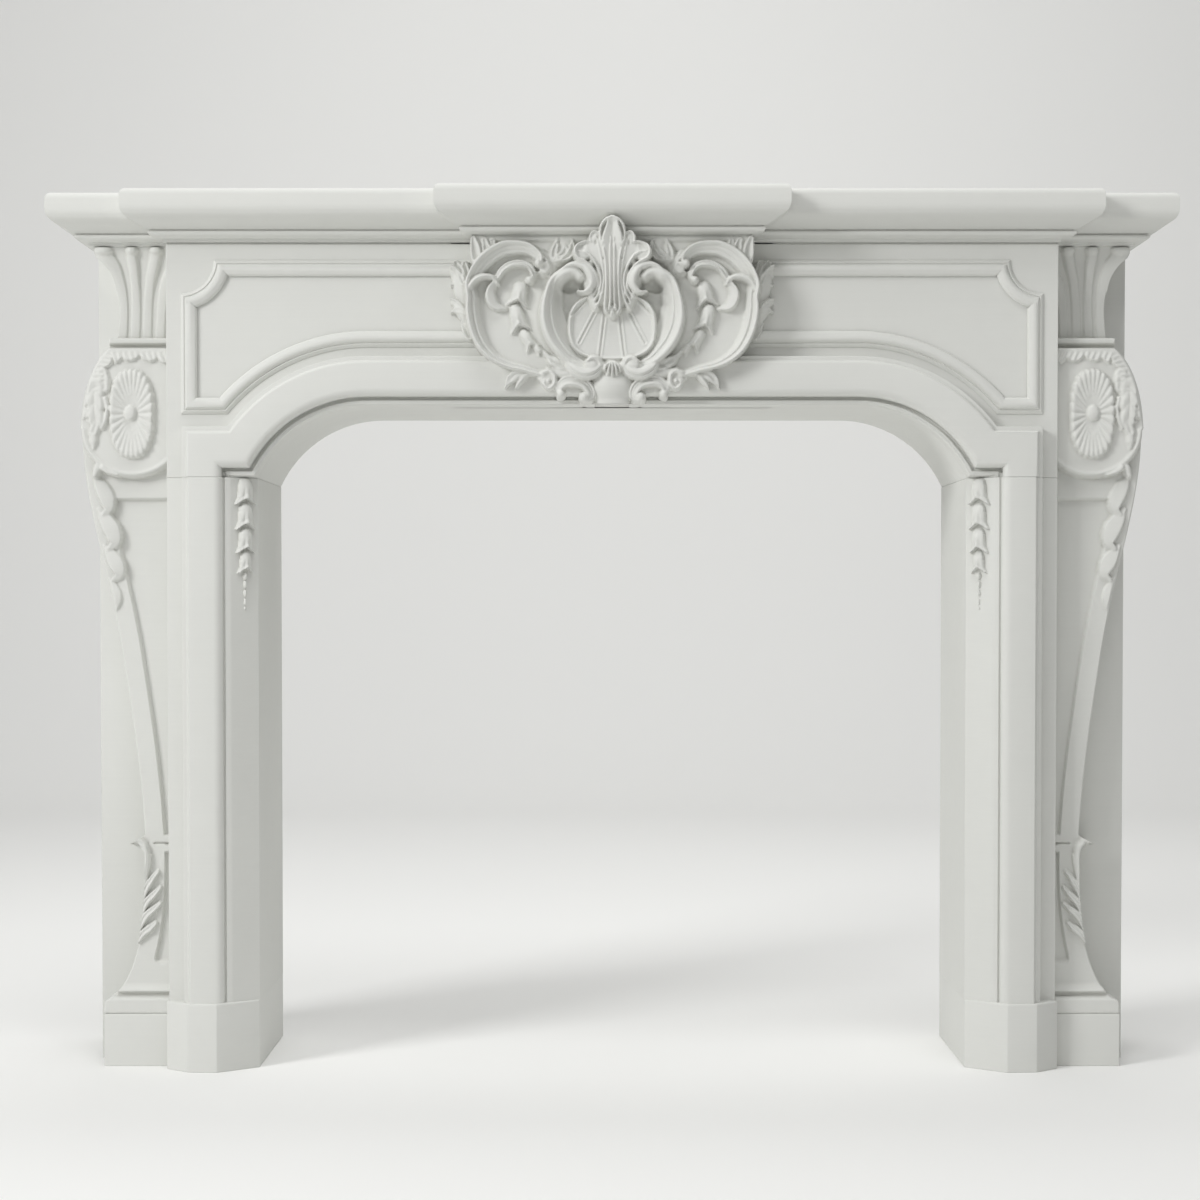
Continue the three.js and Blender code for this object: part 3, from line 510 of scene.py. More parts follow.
def arch_band(piece):
    """The raised band: two outlines of equal length, up the leg, round the ear and over the
    arch, each moved sideways by its own rounded profile, with the flat face between them."""
    outer = mirrored(np.vstack([
        [(-FACE_OUTER, JOINT), (-FACE_OUTER, EAR_TOP)], arch_flank(RIM_RADIUS, EAR_TOP, 32)]))
    shoulder = SHOULDER + 5
    inner = mirrored(np.vstack([
        [(-FACE_INNER, JOINT), (-FACE_INNER, shoulder)], arch_flank(BAND_RADIUS, shoulder, 32)]))
    rim = np.vstack([
        [(11, REVEAL - 12)],
        soften([(11, FRIEZE), (11, FILLET), (4.6, FILLET), (4.2, FILLET + 4)], 1.0)[1:],
        arc(-1, FILLET + 3, 5, 6, 10, 90, 6)])
    brow = np.vstack([
        [(20.7, REVEAL - 12), (20.5, 271), (20, 275.6), (18.4, 277.8), (13.8, 278), (12.6, 276.8)],
        [(12.2, 271.5), (8, 270.5), (6.6, 274), (7.2, 279.4), (8.2, FILLET - 3)],
        arc(-4, FILLET - 2, 12.2, 11, 0, 90, 10)])
    steps = [(outer, out, depth) for out, depth in rim]
    steps += [(inner, -into, depth) for into, depth in brow[::-1]]
    across = np.stack([offset(outline, moved) for outline, moved, _ in steps], axis=1)
    piece.rings(across[..., 0], across[..., 1], np.array([depth for _, _, depth in steps])[None])


def ear_beds(piece):
    """The bed under each ear, which carries the leg's canted fillet up to the shoulder."""
    cant = [(535, REVEAL + 0.8), (568, 276), (588, 276), (588, REVEAL - 12), (535, REVEAL - 12)]
    for side in (1, -1):
        outline = np.array(cant, float) * [side, 1]
        levels = [(JOINT, -side * 0.8), (JOINT + 1, 0), (JOINT + 6, 0), (JOINT + 13, -side * 7)]
        piece.upright(outline, levels)


def panel_frame(piece, side):
    """The bead moulding round a frieze panel: notched at its upper corner, following the arch
    below; its rounded profile is carried round the closed outline."""
    left, top, right, bottom = -647.0, 1217.0, -164.0, 986.2
    chain = np.vstack([
        [(left, bottom)], arc(left, top, 50, 50, -90, 0, 10),
        [(right, top), (right, ARCH_Z + PANEL_RADIUS)], arch_flank(PANEL_RADIUS, bottom, 26)[::-1],
    ])
    profile = soften([
        (1.6, -10), (1.4, -0.4), (0, 0.3), (0.3, 1.5), (4.6, 5), (5.6, 4.8), (5.9, 3.6), (7, 3.8),
        (7.8, 6.2), (10, 8.4), (13, 9.6), (16.5, 9.4), (22.4, 6.6), (24.6, 3.4), (25, 1.6),
        (22.8, 0.9), (22.8, -10),
    ], 0.8)
    rings = np.stack([offset(chain, -inset, closed=True) for inset in profile[:, 0]])
    piece.rings(side * rings[..., 0], rings[..., 1], FRIEZE + profile[:, 1:], capped=False)


def carve_header(piece):
    """The header: its block, frieze, band, beds and panel frames."""
    levels = [(0, 0), (REVEAL - 4, 0), (REVEAL - 1.6, 1), (REVEAL - 0.4, 2.6), (REVEAL, 4.6)]
    depths, widened = np.array(levels).T
    outlines = np.stack([opened(ARCH_RADIUS + out) for out in widened])
    piece.rings(outlines[..., 0], outlines[..., 1], depths[:, None])
    piece.slab(opened(STRIP_RADIUS), [
        (REVEAL - 12, -0.4), (REVEAL, -0.4), (REVEAL + 0.4, 0), (FRIEZE - 0.8, 0), (FRIEZE, -0.8)])
    arch_band(piece)
    ear_beds(piece)
    for side in (1, -1):
        panel_frame(piece, side)


# Cartouche, drawn from the crown of the arch upwards and outwards from the centre line

OUTER_SCROLL = [(108, 206), (109, 216), (117, 224), (128, 229), (145, 230), (161, 228), (178, 219),
                (192, 206), (203, 191), (209, 175), (207, 158), (207, 140), (204, 119), (197, 98),
                (186, 80), (171, 67), (153, 58), (132, 53), (116, 48), (102, 44)]
OUTER_WIDTH = [6.2, 8.3, 10, 10.8, 11.6, 11.6, 11.6, 10.8, 10, 9.5, 10.8, 11.2, 10.8, 10, 8.9, 7.9,
               6.9, 6.2, 5.8, 5]
INNER_SCROLL = [(47, 185), (54, 191), (64, 192), (74, 187), (83, 177), (87, 161), (89, 142),
                (87, 120), (80, 100), (69, 83), (56, 69), (41, 61)]
INNER_WIDTH = [8.3, 10, 11.2, 12.5, 14.9, 17.9, 19.9, 20.3, 19.5, 17.9, 14.5, 9.5]
BLOCK_EDGE = OUTER_SCROLL[:7:-1] + [(200, 204), (203, 216), (205, 230), (207, 244)]


def cartouche_ground(face):
    """The block behind the cartouche: flat, with sides that fall to the frieze along the outer
    scroll and the flares over it, read as reach against height."""
    edge = spline(BLOCK_EDGE)
    reach = np.interp(face.z, edge[:, 1], edge[:, 0], left=0)
    inside = (reach - face.x) / WALL
    cells = np.nonzero((inside > -1) & (face.z < OVOLO - CROWN))
    face.raise_to(cells, 5 * step((face.z[cells] - 238) / 5), CENTRE, inside[cells])


def outer_scrolls(face):
    """The broad outer scroll, the lip that turns over inside it and the small scroll above."""
    over = section((-1, 0.34), (-0.8, 0.5), (-0.5, 0.58), (-0.38, 0.5), (-0.22, 0.66), (0.1, 0.74),
                   (0.2, 0.68), (0.34, 0.88), (0.55, 1), (0.85, 0.98), (1, 0.7))
    flank = section((-1, 0.12), (-0.6, 0.3), (-0.36, 0.66), (-0.2, 0.66), (0.05, 0.48),
                    (0.35, 0.86), (0.68, 1), (1, 0.66))
    face.carve(
        CENTRE,
        (OUTER_SCROLL, OUTER_WIDTH,
         [20, 22, 24, 24, 25, 25, 26, 26, 26, 26, 25, 24, 23, 22, 21, 20, 19, 18, 17, 16],
         blend(over, flank, 0.34, 0.44)),
        ([(174, 179), (169, 188), (161, 199), (148, 206), (134, 207), (123, 203), (117, 194),
          (116, 186), (121, 180)], [4.2, 5, 5.6, 5.8, 5.8, 5.4, 5, 4.6, 2.9],
         [15, 17, 18, 19, 19, 19, 19, 18, 16],
         section((-1, 0.5), (-0.7, 0.8), (-0.3, 0.62), (0.1, 0.66), (0.5, 1), (0.8, 1), (1, 0.6))),
        ((122, 182), [6.9, 6.9], 20, 6),
        ([(213, 163), (207, 177), (196, 185), (182, 187), (172, 182), (169, 176)],
         [2.9, 4.6, 5.6, 5.6, 5, 2.5], [20, 25, 26, 25, 22, 16]),
        ([(173, 179), (180, 167), (179, 154), (172, 144), (157, 140)], [5, 7.5, 8.7, 7.1, 1.7],
         [17, 17, 16, 13, 7], section((-1, 0.5), (-0.4, 0.7), (0.3, 0.9), (0.75, 1), (1, 0.6))),
        ([(108, 204), (100, 211), (90, 208), (88, 195), (93, 187)], [4.6, 7.1, 7.1, 5.4, 2.1],
         [20, 17, 14, 13, 10], LIPPED),
        ([(104, 224), (91, 212), (90, 198), (101, 191), (111, 193)], [4.9, 8.5, 9.2, 7, 2.8],
         [14, 15, 14, 13, 11], LIPPED),
        ((109, 206), [6.2, 6.2], 25, 12),
        ((100, 199), [8.3, 9.1], 14, 12),
        ([(103, 45), (93, 48), (86, 41), (86, 29), (94, 22), (101, 28), (100, 35)],
         [4.6, 5, 4.6, 4.4, 3.9, 2.9, 1.7], [17, 18, 19, 19, 18, 17, 16]),
        ((95, 34), [12, 12.9], 13, 12),
        ((94, 33), [3.5, 4.2], 19, 14),
        ([(103, 41), (87, 32), (70, 24)], [10.4, 12.5, 10.4], [9, 9, 8]),
    )


def outer_leaves(face):
    """The leaf tufts outside the scroll, the flares at the block's corners, the upper leaves and
    the pointed leaves below."""
    face.carve(
        CENTRE - 36,
        ([(213, 148), (219, 176), (226, 197), (231, 207)], [11.3, 19.7, 19, 9.2], [14, 19, 19, 14],
         round_back),
        ([(224, 181), (233, 195), (244, 202), (252, 195), (249, 183), (240, 181)],
         [7, 9.5, 9.2, 7.8, 6.3, 3.2], [22, 25, 25, 23, 20, 17], LIPPED),
        ([(220, 183), (226, 199), (233, 212)], [7, 7.8, 5.3], [23, 25, 20], GOUGED),
        ([(214, 179), (217, 197), (220, 212)], [6.3, 7, 4.9], [25, 27, 21], GOUGED),
        ([(213, 123), (221, 139), (231, 151), (236, 155)], [8.5, 12.7, 12, 6.3], [13, 18, 18, 13],
         round_back),
        ([(222, 140), (231, 150), (241, 156), (245, 151)], [4.9, 6.3, 6, 3.5], [20, 22, 20, 16],
         LIPPED),
        ([(220, 137), (228, 141), (236, 142), (241, 139)], [4.2, 4.9, 4.6, 2.1], [20, 20, 17, 12],
         GOUGED),
        ([(213, 102), (219, 114), (224, 123)], [6.3, 7, 3.5], [17, 17, 12], GOUGED),
    )
    face.carve(
        CENTRE,
        ([(194, 203), (192, 216), (193, 230), (194, 241)], [10.4, 12, 13.3, 10.4], [9, 8, 6, 4]),
        ([(82, 212), (74, 222), (70, 234)], [9.1, 13.7, 10.4], [10, 9, 6]),
        ([(198, 203), (201, 218), (203, 232), (206, 244)], [7.5, 9.5, 9.1, 5], [17, 16, 14, 11],
         GOUGED),
        ([(186, 214), (186, 226), (187, 235), (189, 242)], [5.8, 7.1, 7.1, 4.6], [13, 13, 12, 10],
         GOUGED),
        ([(176, 226), (176, 234), (177, 241)], [4.6, 5.4, 4.6], [10, 10, 8], GOUGED),
        ([(86, 213), (86, 224), (83, 234), (81, 243)], [5, 6.2, 5.4, 1.2], [12, 14, 13, 9], GOUGED),
        ([(83, 213), (74, 219), (69, 227), (71, 236)], [5, 5.8, 5, 1.2], [13, 15, 14, 9], GOUGED),
        ([(78, 213), (65, 217), (59, 229), (59, 243)], [4.6, 5.8, 5.8, 1.2], [14, 16, 15, 10],
         GOUGED),
    )
    face.carve(
        CENTRE - 3,
        ([(110, 43), (124, 46), (140, 44), (151, 37), (158, 26), (159, 23)],
         [2.9, 6.2, 9.5, 10.4, 7.1, 2.1], [9, 13, 14, 13, 10, 7], lobed(3, 0.3, 0.35),
         scalloped(3, 0.3, 0.1)),
        ([(126, 43), (134, 36), (141, 27), (145, 20)], [5.4, 7.1, 5.4, 1.2], [13, 13, 11, 7],
         RIDGE),
    )


def garland(face):
    """The garland of bellflowers between the scrolls, dwindling to buds."""
    for top, foot, half, rise in (
        ((134, 180), (141, 143), 16, 15), ((145, 146), (135, 106), 15, 14.5),
        ((134, 109), (116, 80), 11.5, 12), ((116, 88), (103, 73), 7.5, 9),
        ((104, 79), (93, 69), 5.5, 7),
    ):
        face.bell(top, foot, half, rise, CENTRE)


def inner_scrolls(face):
    """The pair of inner scrolls: a broad outer ridge, a fine line and a deep hollow inside it, a
    rolled head and a rolled foot, and the small scrolls under them."""
    body = section((-1, 0.14), (-0.62, 0.2), (-0.3, 0.34), (-0.04, 0.6), (0.03, 0.76), (0.1, 0.77),
                   (0.16, 0.62), (0.3, 0.72), (0.62, 1), (0.85, 0.96), (1, 0.7))
    head = section((-1, 0.3), (-0.8, 0.7), (-0.4, 0.95), (0, 1), (0.6, 0.93), (1, 0.6))
    face.carve(
        CENTRE,
        (INNER_SCROLL, INNER_WIDTH, [36, 38, 38, 37, 36, 36, 36, 35, 34, 32, 29, 23],
         blend(head, body, 0.16, 0.34)),
        ([(77, 192), (67, 200), (54, 203), (40, 199), (32, 189), (29, 177), (33, 167), (42, 162),
          (51, 165)], [2.4, 3.8, 5.3, 7.1, 8.1, 8.1, 6.8, 4.7, 1.8],
         [36, 39, 41, 42, 43, 42, 40, 37, 34],
         section((-1, 0.74), (-0.6, 0.92), (0.1, 1), (0.6, 0.97), (1, 0.7))),
    )
    face.pit((65, 172), (15, 9), 10)
    face.carve(
        CENTRE,
        ([(60, 52), (74, 57), (87, 63), (98, 73)], [10.8, 12.5, 10, 2.5], [20, 20, 17, 11],
         lobed(3, 0.25, 0.35), scalloped(3, 0.25, 0.15)),
        ([(60, 44), (74, 44), (87, 48), (96, 52)], [7.1, 8.3, 7.1, 2.9], [18, 18, 15, 11]),
        ([(67, 63), (60, 53), (44, 44), (29, 46), (17, 55)], [4.2, 9.5, 10.8, 10.8, 7.5],
         [26, 31, 33, 33, 29], section((-1, 0.62), (-0.5, 0.95), (0.1, 1), (0.3, 0.93), (0.4, 0.78),
                                       (0.52, 0.94), (1, 0.7))),
        ([(17, 55), (21, 63), (29, 66), (37, 61)], [6.2, 6.2, 5.8, 4.2], [29, 32, 34, 34]),
        ((31, 56), [10, 7.5], 32, 27),
    )
    line = section((-1, 0.5), (-0.66, 0.86), (-0.42, 0.62), (-0.24, 0.84), (-0.02, 0.7),
                   (0.24, 0.94), (0.7, 1), (1, 0.62))
    face.carve(
        CENTRE,
        ([(78, 11), (78, 24), (69, 32), (53, 33), (40, 28), (32, 17), (33, 8), (40, 5)],
         [5, 7.5, 8.7, 9.1, 9.5, 9.1, 7.5, 3.7], [17, 20, 22, 24, 24, 24, 22, 20], line),
        ((76, 14), [7.5, 7.1], 21, 8),
        ((42, 9), [8.7, 8.7], 25, 10),
    )


def shell_disc(face):
    """The shell: a shallow squared-oval dish with a thin rim, and double ribs that spread from
    the palmette; each rib is a ridge with a groove along its top."""
    radii = (66.0, 49.5)
    cells, dx, dz = face.oval((0, 113), radii, 2)
    out = (np.abs(dx) ** 2.8 + np.abs(dz) ** 2.8) ** (1 / 2.8)
    dish = 9 + 5 * out ** 2 + 5 * np.exp(-((out - 0.945) / 0.036) ** 2)
    face.raise_to(cells, dish, CENTRE, (1 - out) * min(radii) / WALL + 0.5)
    for foot, top in (((18.4, 70), (10.6, 134)), ((49, 89), (21.5, 142)), ((62.5, 128), (35, 156))):
        face.score([foot, top], 6, lambda away: 1.7 * np.exp(-((np.abs(away) - 2.7) / 1.3) ** 2)
                   - 2.0 * np.exp(-(away / 1.3) ** 2))


def palmette(face):
    """The palmette over the shell: ridged stems that rise from a scalloped foot and spread into
    a tall hood, a small lobe and a curled lobe on each side."""
    heights = (131, 137, 144, 151, 159, 172, 187, 202, 213, 222, 232, 241, 248)
    dished = section((-1, 1), (-0.6, 0.96), (0, 0.88), (0.6, 0.96), (1, 1))
    mass = section((-1, 0.74), (-0.75, 0.9), (-0.3, 0.98), (0.3, 0.98), (0.75, 0.9), (1, 0.74))
    face.carve(
        CENTRE,
        ([(0, z) for z in heights],
         [7.4, 13.2, 22.1, 28.8, 21.5, 18.5, 18, 23.5, 36.1, 48.6, 49.3, 34.6, 19.1],
         [22, 25, 27, 30, 33, 36, 38.5, 40, 41, 42, 43, 45, 46], mass),
        ([(0, z) for z in (186, 206, 222, 238, 250, 259)], [5.9, 8.8, 13, 16.5, 14.7, 9.1],
         [30, 37, 42, 47.5, 52, 54], dished),
        ((44, 221), (14.5, 14.5), 40, 35),
        ([(28, 214), (34, 196), (35, 178), (30, 158), (24, 140)], [7, 9, 9, 8, 6],
         [36, 33, 30, 28, 24]),
        ([(19, 214), (21, 196), (21, 178), (18, 158)], [5, 6, 6, 5], [37, 35, 33, 31]),
        ((25, 240), (9, 11), 43, 38),
        ([(18, 235), (18, 247), (16, 257), (10, 265), (1, 269)], [1.8, 2.6, 3.7, 4.6, 5.2],
         [46, 50, 53, 55, 56]),
        ([(18, 243), (16, 232), (12, 219), (10, 205), (9, 188), (9, 171), (10, 155), (11, 140),
          (8, 133)], [2.6, 2.8, 2.8, 2.8, 2.8, 2.9, 3.2, 3.8, 3.5],
         [49, 47, 46, 44, 42, 39, 36, 31, 28]),
        ([(21, 248), (28, 249), (33, 242), (32, 235)], [2.9, 3.2, 2.9, 2.1], [46, 47, 46, 44]),
        ([(24, 241), (20, 228), (17, 213), (14, 196), (13, 178), (15, 161), (20, 147), (23, 143)],
         [2.5, 2.5, 2.4, 2.2, 2.2, 2.5, 3.2, 3.2], [45, 44, 43, 41, 39, 36, 32, 29]),
        ([(50, 221), (40, 219), (32, 214), (24, 202), (18, 188), (17, 172), (21, 159), (26, 150)],
         [1.8, 2.5, 2.6, 2.5, 2.4, 2.4, 2.6, 2.9], [43, 44, 44, 42, 40, 37, 33, 29]),
        ([(31, 234), (40, 235), (51, 230), (55, 221), (51, 211), (39, 205), (29, 196), (23, 184),
          (22, 171), (27, 160), (34, 155)], [2.4, 3.2, 3.8, 4, 4, 3.5, 2.9, 2.6, 2.6, 2.9, 2.6],
         [44, 45, 46, 46, 45, 43, 41, 39, 36, 32, 28]),
        ([(1, 143), (1, 137), (1, 131)], [1.8, 2.9, 3.5], [30, 30, 27]),
        ([(2, 240), (3, 222), (3, 205), (3, 187), (3, 167), (3, 149), (5, 137)],
         [1, 1.5, 1.8, 1.8, 1.8, 2.1, 2.4], [49, 48, 46.5, 44.5, 42, 37.5, 33]),
    )
    for spot, size, sink in (((21, 241), 2.0, 3), ((24, 233), 2.6, 3), ((14, 227), 1.5, 3),
                             ((13, 210), 1.5, 3), ((45, 229), 7, 2.5), ((1, 145), 3, 3)):
        face.pit(spot, (size, size * 1.7), sink)
    for height in (256, 246):
        face.dome((0, height), (1.5, 1.5), 47, CENTRE, 40)


def boss(face):
    """The plain boss at the foot with its small hanging shell of five ribs, on a low bed that
    runs behind the small scrolls."""
    face.carve(
        CENTRE,
        ([(0, 36), (30, 34), (62, 30), (84, 34)], [24, 22, 18, 8], [8, 8, 7, 5]),
        ([(0, 6), (0, 14), (0, 28), (0, 40), (0, 48)], [25, 30, 31, 29, 22], [16, 23, 26, 24, 20]),
    )
    for reach, drop in ((0, 20), (6.2, 18), (11.5, 12)):
        face.stroke([(reach * 0.3, 60), (reach * 0.85, 60 - drop * 0.5), (reach, 60 - drop)],
                    [2.4, 3.2, 3.0], [30, 33, 31], CENTRE)


def carve_cartouche(piece, spacing):
    """The cartouche on its projecting block: one half is carved on a grid that is finer near
    the centre, then mirrored. Above the block only the hood stands out, over the shelf's bed."""
    fine, coarse = spacing * 0.92, spacing * 1.2
    half = np.concatenate([np.arange(0, 62, fine), np.arange(62, CARTOUCHE_REACH, coarse)])
    height = np.arange(0, CARTOUCHE_HEIGHT, spacing)
    x, z = np.meshgrid(half, height)
    profile = shelf_profile()[::-1]
    bed = np.interp(height + CROWN, profile[:, 1], profile[:, 0]) + CENTRE
    above = height + CROWN > OVOLO
    low = height < 16
    ground = np.where(above, bed - 3, np.where(low, REVEAL - 3, FRIEZE - 3)) - 11 * (height < 7)
    ground = np.where(above[:, None] & (x > 76), FRIEZE - 3, ground[:, None])
    face = Relief(x, z, ground)
    cartouche_ground(face)
    outer_leaves(face)
    outer_scrolls(face)
    garland(face)
    inner_scrolls(face)
    shell_disc(face)
    boss(face)
    palmette(face)
    face.smooth()
    reach = np.interp(height, [248, 254, 260, 266, 275], [46, 40, 34, 27, 20])
    hood = step((reach[:, None] - x) / 3)
    face.depth = np.where(above[:, None], ground + (face.depth - ground) * hood, face.depth)
    both = [np.hstack([sign * half[:, :0:-1], half]) for sign, half in (
        (-1, x), (1, z + CROWN), (1, face.depth), (1, face.hollowness(4)))]
    piece.relief(*both[:3], np.where(low, REVEAL - 20, FRIEZE - 20), both[3])


# Legs

def leg_plan():
    """The plan of the right leg above its plinth, as x and depth, with its canted inner face
    divided finely; returns the points and which of them lie on the cant."""
    cant = np.linspace((LEG_INNER, REVEAL), CANT_EDGE, 44)
    back = np.array([(LEG_INNER, 0)])
    edge = soften([CANT_EDGE, (578.6, 284.2), (579.6, 281.4), (581.6, 281.6)], 0.7)[1:]
    brow = arc(595.4, 283, 13.8, 12, 180, 90, 10)[1:]
    rest = soften([
        (595.4, FACE), (FACE_OUTER, FACE), (FACE_OUTER + 4.5, FILLET), (642.5, FILLET),
        (642.5, FRIEZE), (LEG_OUTER, FRIEZE), (LEG_OUTER, 0)], 1.1)[1:]
    plan = np.vstack([back, cant, edge, brow, rest])
    return plan, slice(1, 1 + len(cant))


def carve_leg(piece, spacing):
    """A leg: its plan carried upward in rows that are fine beside the drop, whose flowers push
    the canted face out along its normal, on a canted and bevelled plinth."""
    plan, cant = leg_plan()
    heights = np.concatenate([
        [LEG_FOOT, 300, 500], np.arange(675, LEG_TOP - 2, spacing), [LEG_TOP - 0.7, LEG_TOP]])
    inset = np.zeros(len(heights))
    inset[-1] = 0.7
    outlines = np.stack([offset(plan, -i, closed=True) for i in inset])
    along = np.hypot(*(plan[cant] - plan[cant][0]).T)
    middle = along[-1] / 2
    face = Relief(along[None] - middle, heights[:, None], 0)
    for drop, length, half, rise in ((2, 39, 16.5, 12), (39.5, 39, 16, 12), (77, 37, 15, 11.5),
                                     (111, 33, 12.5, 10)):
        face.bell((0, JOINT - drop), (0, JOINT - drop - length), half, rise, 0)
    for drop, long, half in ((147, 7, 3.6), (160, 7, 3.2), (173, 6.5, 2.6), (186, 7, 2.0),
                             (196, 6, 1.4)):
        face.dome((0, JOINT - drop), (half, long), half * 1.6, 0)
    fade = step((middle - np.abs(face.x)) / 1.5) * step((LEG_TOP - 1 - face.z) / 1.0)
    face.depth = np.maximum(face.depth, 0) * fade
    outlines[:, cant] += face.depth[..., None] * CANT_NORMAL
    hollows = np.zeros(outlines.shape[:2])
    hollows[:, cant] = face.hollowness(3)
    piece.rings(outlines[..., 0], heights[:, None], outlines[..., 1], hollow=hollows.ravel())
    foot = soften([
        (LEG_INNER, 0), (LEG_INNER, 257), (FACE_INNER, 300), (636, 297), (671.5, 270), (671.5, 185),
        (LEG_OUTER, 185), (LEG_OUTER, 0)], 1.4, closed=True)[::-1]
    piece.upright(foot, [(0, 0.8), (0.8, 0), (100, 0), (101.6, 0.5), (102.7, 1.6), (103, 3)])


# Console

def reach(share):
    """A place across the console, as a share of its width from the leg outward."""
    return LEG_OUTER + CONSOLE_WIDTH * share


def climb(share):
    """A height on the console, as a share of the way from its cap to its bead."""
    return CAP_TOP + SCROLL_HEIGHT * share


SCROLL_TOP = climb(0.994)
FROM_LEG = np.array([LEG_OUTER, 0])


def console_outline(steps=24):
    """The outer edge from the bead down to the cap: four cubic curves end to end."""
    stations = [
        [(0.76, 0.994), (0.96, 0.975), (1.12, 0.93), (1.127, 0.87)],
        [(1.127, 0.87), (1.127, 0.76), (0.82, 0.67), (0.64, 0.54)],
        [(0.64, 0.54), (0.5, 0.43), (0.37, 0.33), (0.34, 0.215)],
        [(0.34, 0.215), (0.34, 0.1), (0.5, 0.03), (0.78, 0)],
    ]
    edge = np.vstack([bezier(curve, steps) for curve in stations])
    return np.column_stack([reach(edge[:, 0]), climb(edge[:, 1])])


def neck_outline():
    """The outer edge of the fluted neck, from the bead up to the shelf."""
    return np.array([(86, 1104), (84, 1122), (82, 1145), (83, 1165), (85, 1184), (90, 1200),
                     (99, 1214), (110, 1224), (116, 1230), (118, 1236), (117, 1241)]) + FROM_LEG


def console_edge(z):
    """How far out the console reaches at each height: cap, shaft with the foot leaf's curled
    tip, scroll, bead, then neck."""
    scroll = console_outline()[::-1]
    neck = spline(neck_outline())
    cap = np.interp(z, [FOOT, 82, 95, 99.5, CAP_TOP, 107],
                    [769, BLOCK_OUTER, BLOCK_OUTER, 769, 764.5, 740])
    edge = np.interp(z, scroll[:, 1], scroll[:, 0])
    edge = np.where(z < 110, np.maximum(cap, edge), edge)
    edge = np.where(z > SCROLL_TOP, reach(0.78), edge)
    edge = edge + 23 * np.maximum(1 - np.abs(z - 337) / 13, 0) ** 1.2
    return np.where(z > NECK_FOOT, np.interp(z, neck[:, 1], neck[:, 0]), edge)


def console_ground(x, z, edge):
    """The plain form of the console: a coved cap, the shaft with its sunk panel, the scroll's
    face with a rolled lower lip, the bead and the floor of the neck's flutes."""
    inward = edge - x
    foot = SHAFT + 12 * step((126 - z) / 13) ** 1.6 - 8 * step((113 - z) / 3)
    shaft = np.where(z < 104, CAP - ease(103.5 - z, 3.0) - ease(z - FOOT, 1.5), foot)
    top, bottom = climb(0.765), climb(0.055)
    slant = 1 / np.sqrt(1 + np.gradient(edge[:, 0], z[:, 0])[:, None] ** 2)
    sides = np.stack([inward * slant - 29, top - z, z - bottom])
    radius = 9.0
    bent = np.maximum(radius - sides, 0)
    nearest = sides.min(axis=0)
    inside = np.where(nearest > radius, nearest, radius - np.sqrt((bent ** 2).sum(axis=0)))
    shaft = shaft - 8 * step((inside + 1.0) / 2.6)
    cx, cz, rx, rz = reach(0.464), climb(0.87), 0.663 * CONSOLE_WIDTH, 0.073 * SCROLL_HEIGHT
    dx, dz = (x - cx) / rx, np.minimum(z - cz, 0) / rz
    out = np.hypot(dx, dz)
    slope = np.hypot(dx / rx, dz / rz) / np.maximum(out, 1e-6)
    within = (1 - out) / np.maximum(slope, 1e-6) + 2 * np.maximum(z - cz, 0)
    lip = 2.6 * np.exp(-((within - 5.5) / 3.6) ** 2)
    scroll = DISC + lip - ease(within, 5.5) - ease(inward, 4) - ease(SCROLL_TOP - z, 4)
    depth = np.where(within > 0, np.maximum(scroll, SHAFT - 2), shaft - ease(inward, 2.4))
    lift = np.maximum(z - NECK_FOOT, 0) / 130
    neck = 208.5 + 13 * lift ** 2.4 - ease(inward, 6)
    round_bead = np.sqrt(np.maximum(1 - ((z - BEAD_FOOT - 5.5) / 6) ** 4, 0))
    bead = 229 + 6.5 * round_bead - ease(inward, 2)
    depth = np.where(z > SCROLL_TOP, 227, depth)
    depth = np.where((z > BEAD_FOOT) & (z <= NECK_FOOT), bead, depth)
    return np.where(z > NECK_FOOT, neck, depth)


def neck_ribs(face):
    """The neck's four ribs, each a rounded ridge that fans out and swells to a lip."""
    heights = (1104, 1127, 1153, 1174, 1194, 1213, 1226, 1236)
    ribs = (
        ([77, 75, 74, 76, 81, 89, 99, 102], [9.3, 9, 8.7, 8.7, 9.9, 12.2, 15.2, 15.7]),
        ([57, 56, 55, 55, 56, 57, 59, 59], [9, 9, 9, 8.7, 8.5, 8.7, 9.6, 10.5]),
        ([38, 38, 37, 35, 32, 27, 24, 22], [8.7, 8.7, 8.7, 8.7, 8.7, 9.3, 9.9, 10.5]),
        ([19, 18, 16, 13, 6, -5, -13, -17], [8.7, 8.7, 8.7, 9.3, 9.9, 11.1, 12.2, 12.8]),
    )
    full = section((-1, 0.7), (-0.7, 0.93), (-0.2, 1), (0.2, 1), (0.7, 0.93), (1, 0.7))
    for across, width in ribs:
        points = np.column_stack([across, heights]) + FROM_LEG
        face.stroke(points, width, [5, 5.4, 6, 7, 10, 14, 19, 23], NECK_FLOOR, full, wall=5.5)
        face.dome(points[-1] + [0, 1], (width[-1] * 1.04, 9), 28, NECK_FLOOR, 15, wall=3)


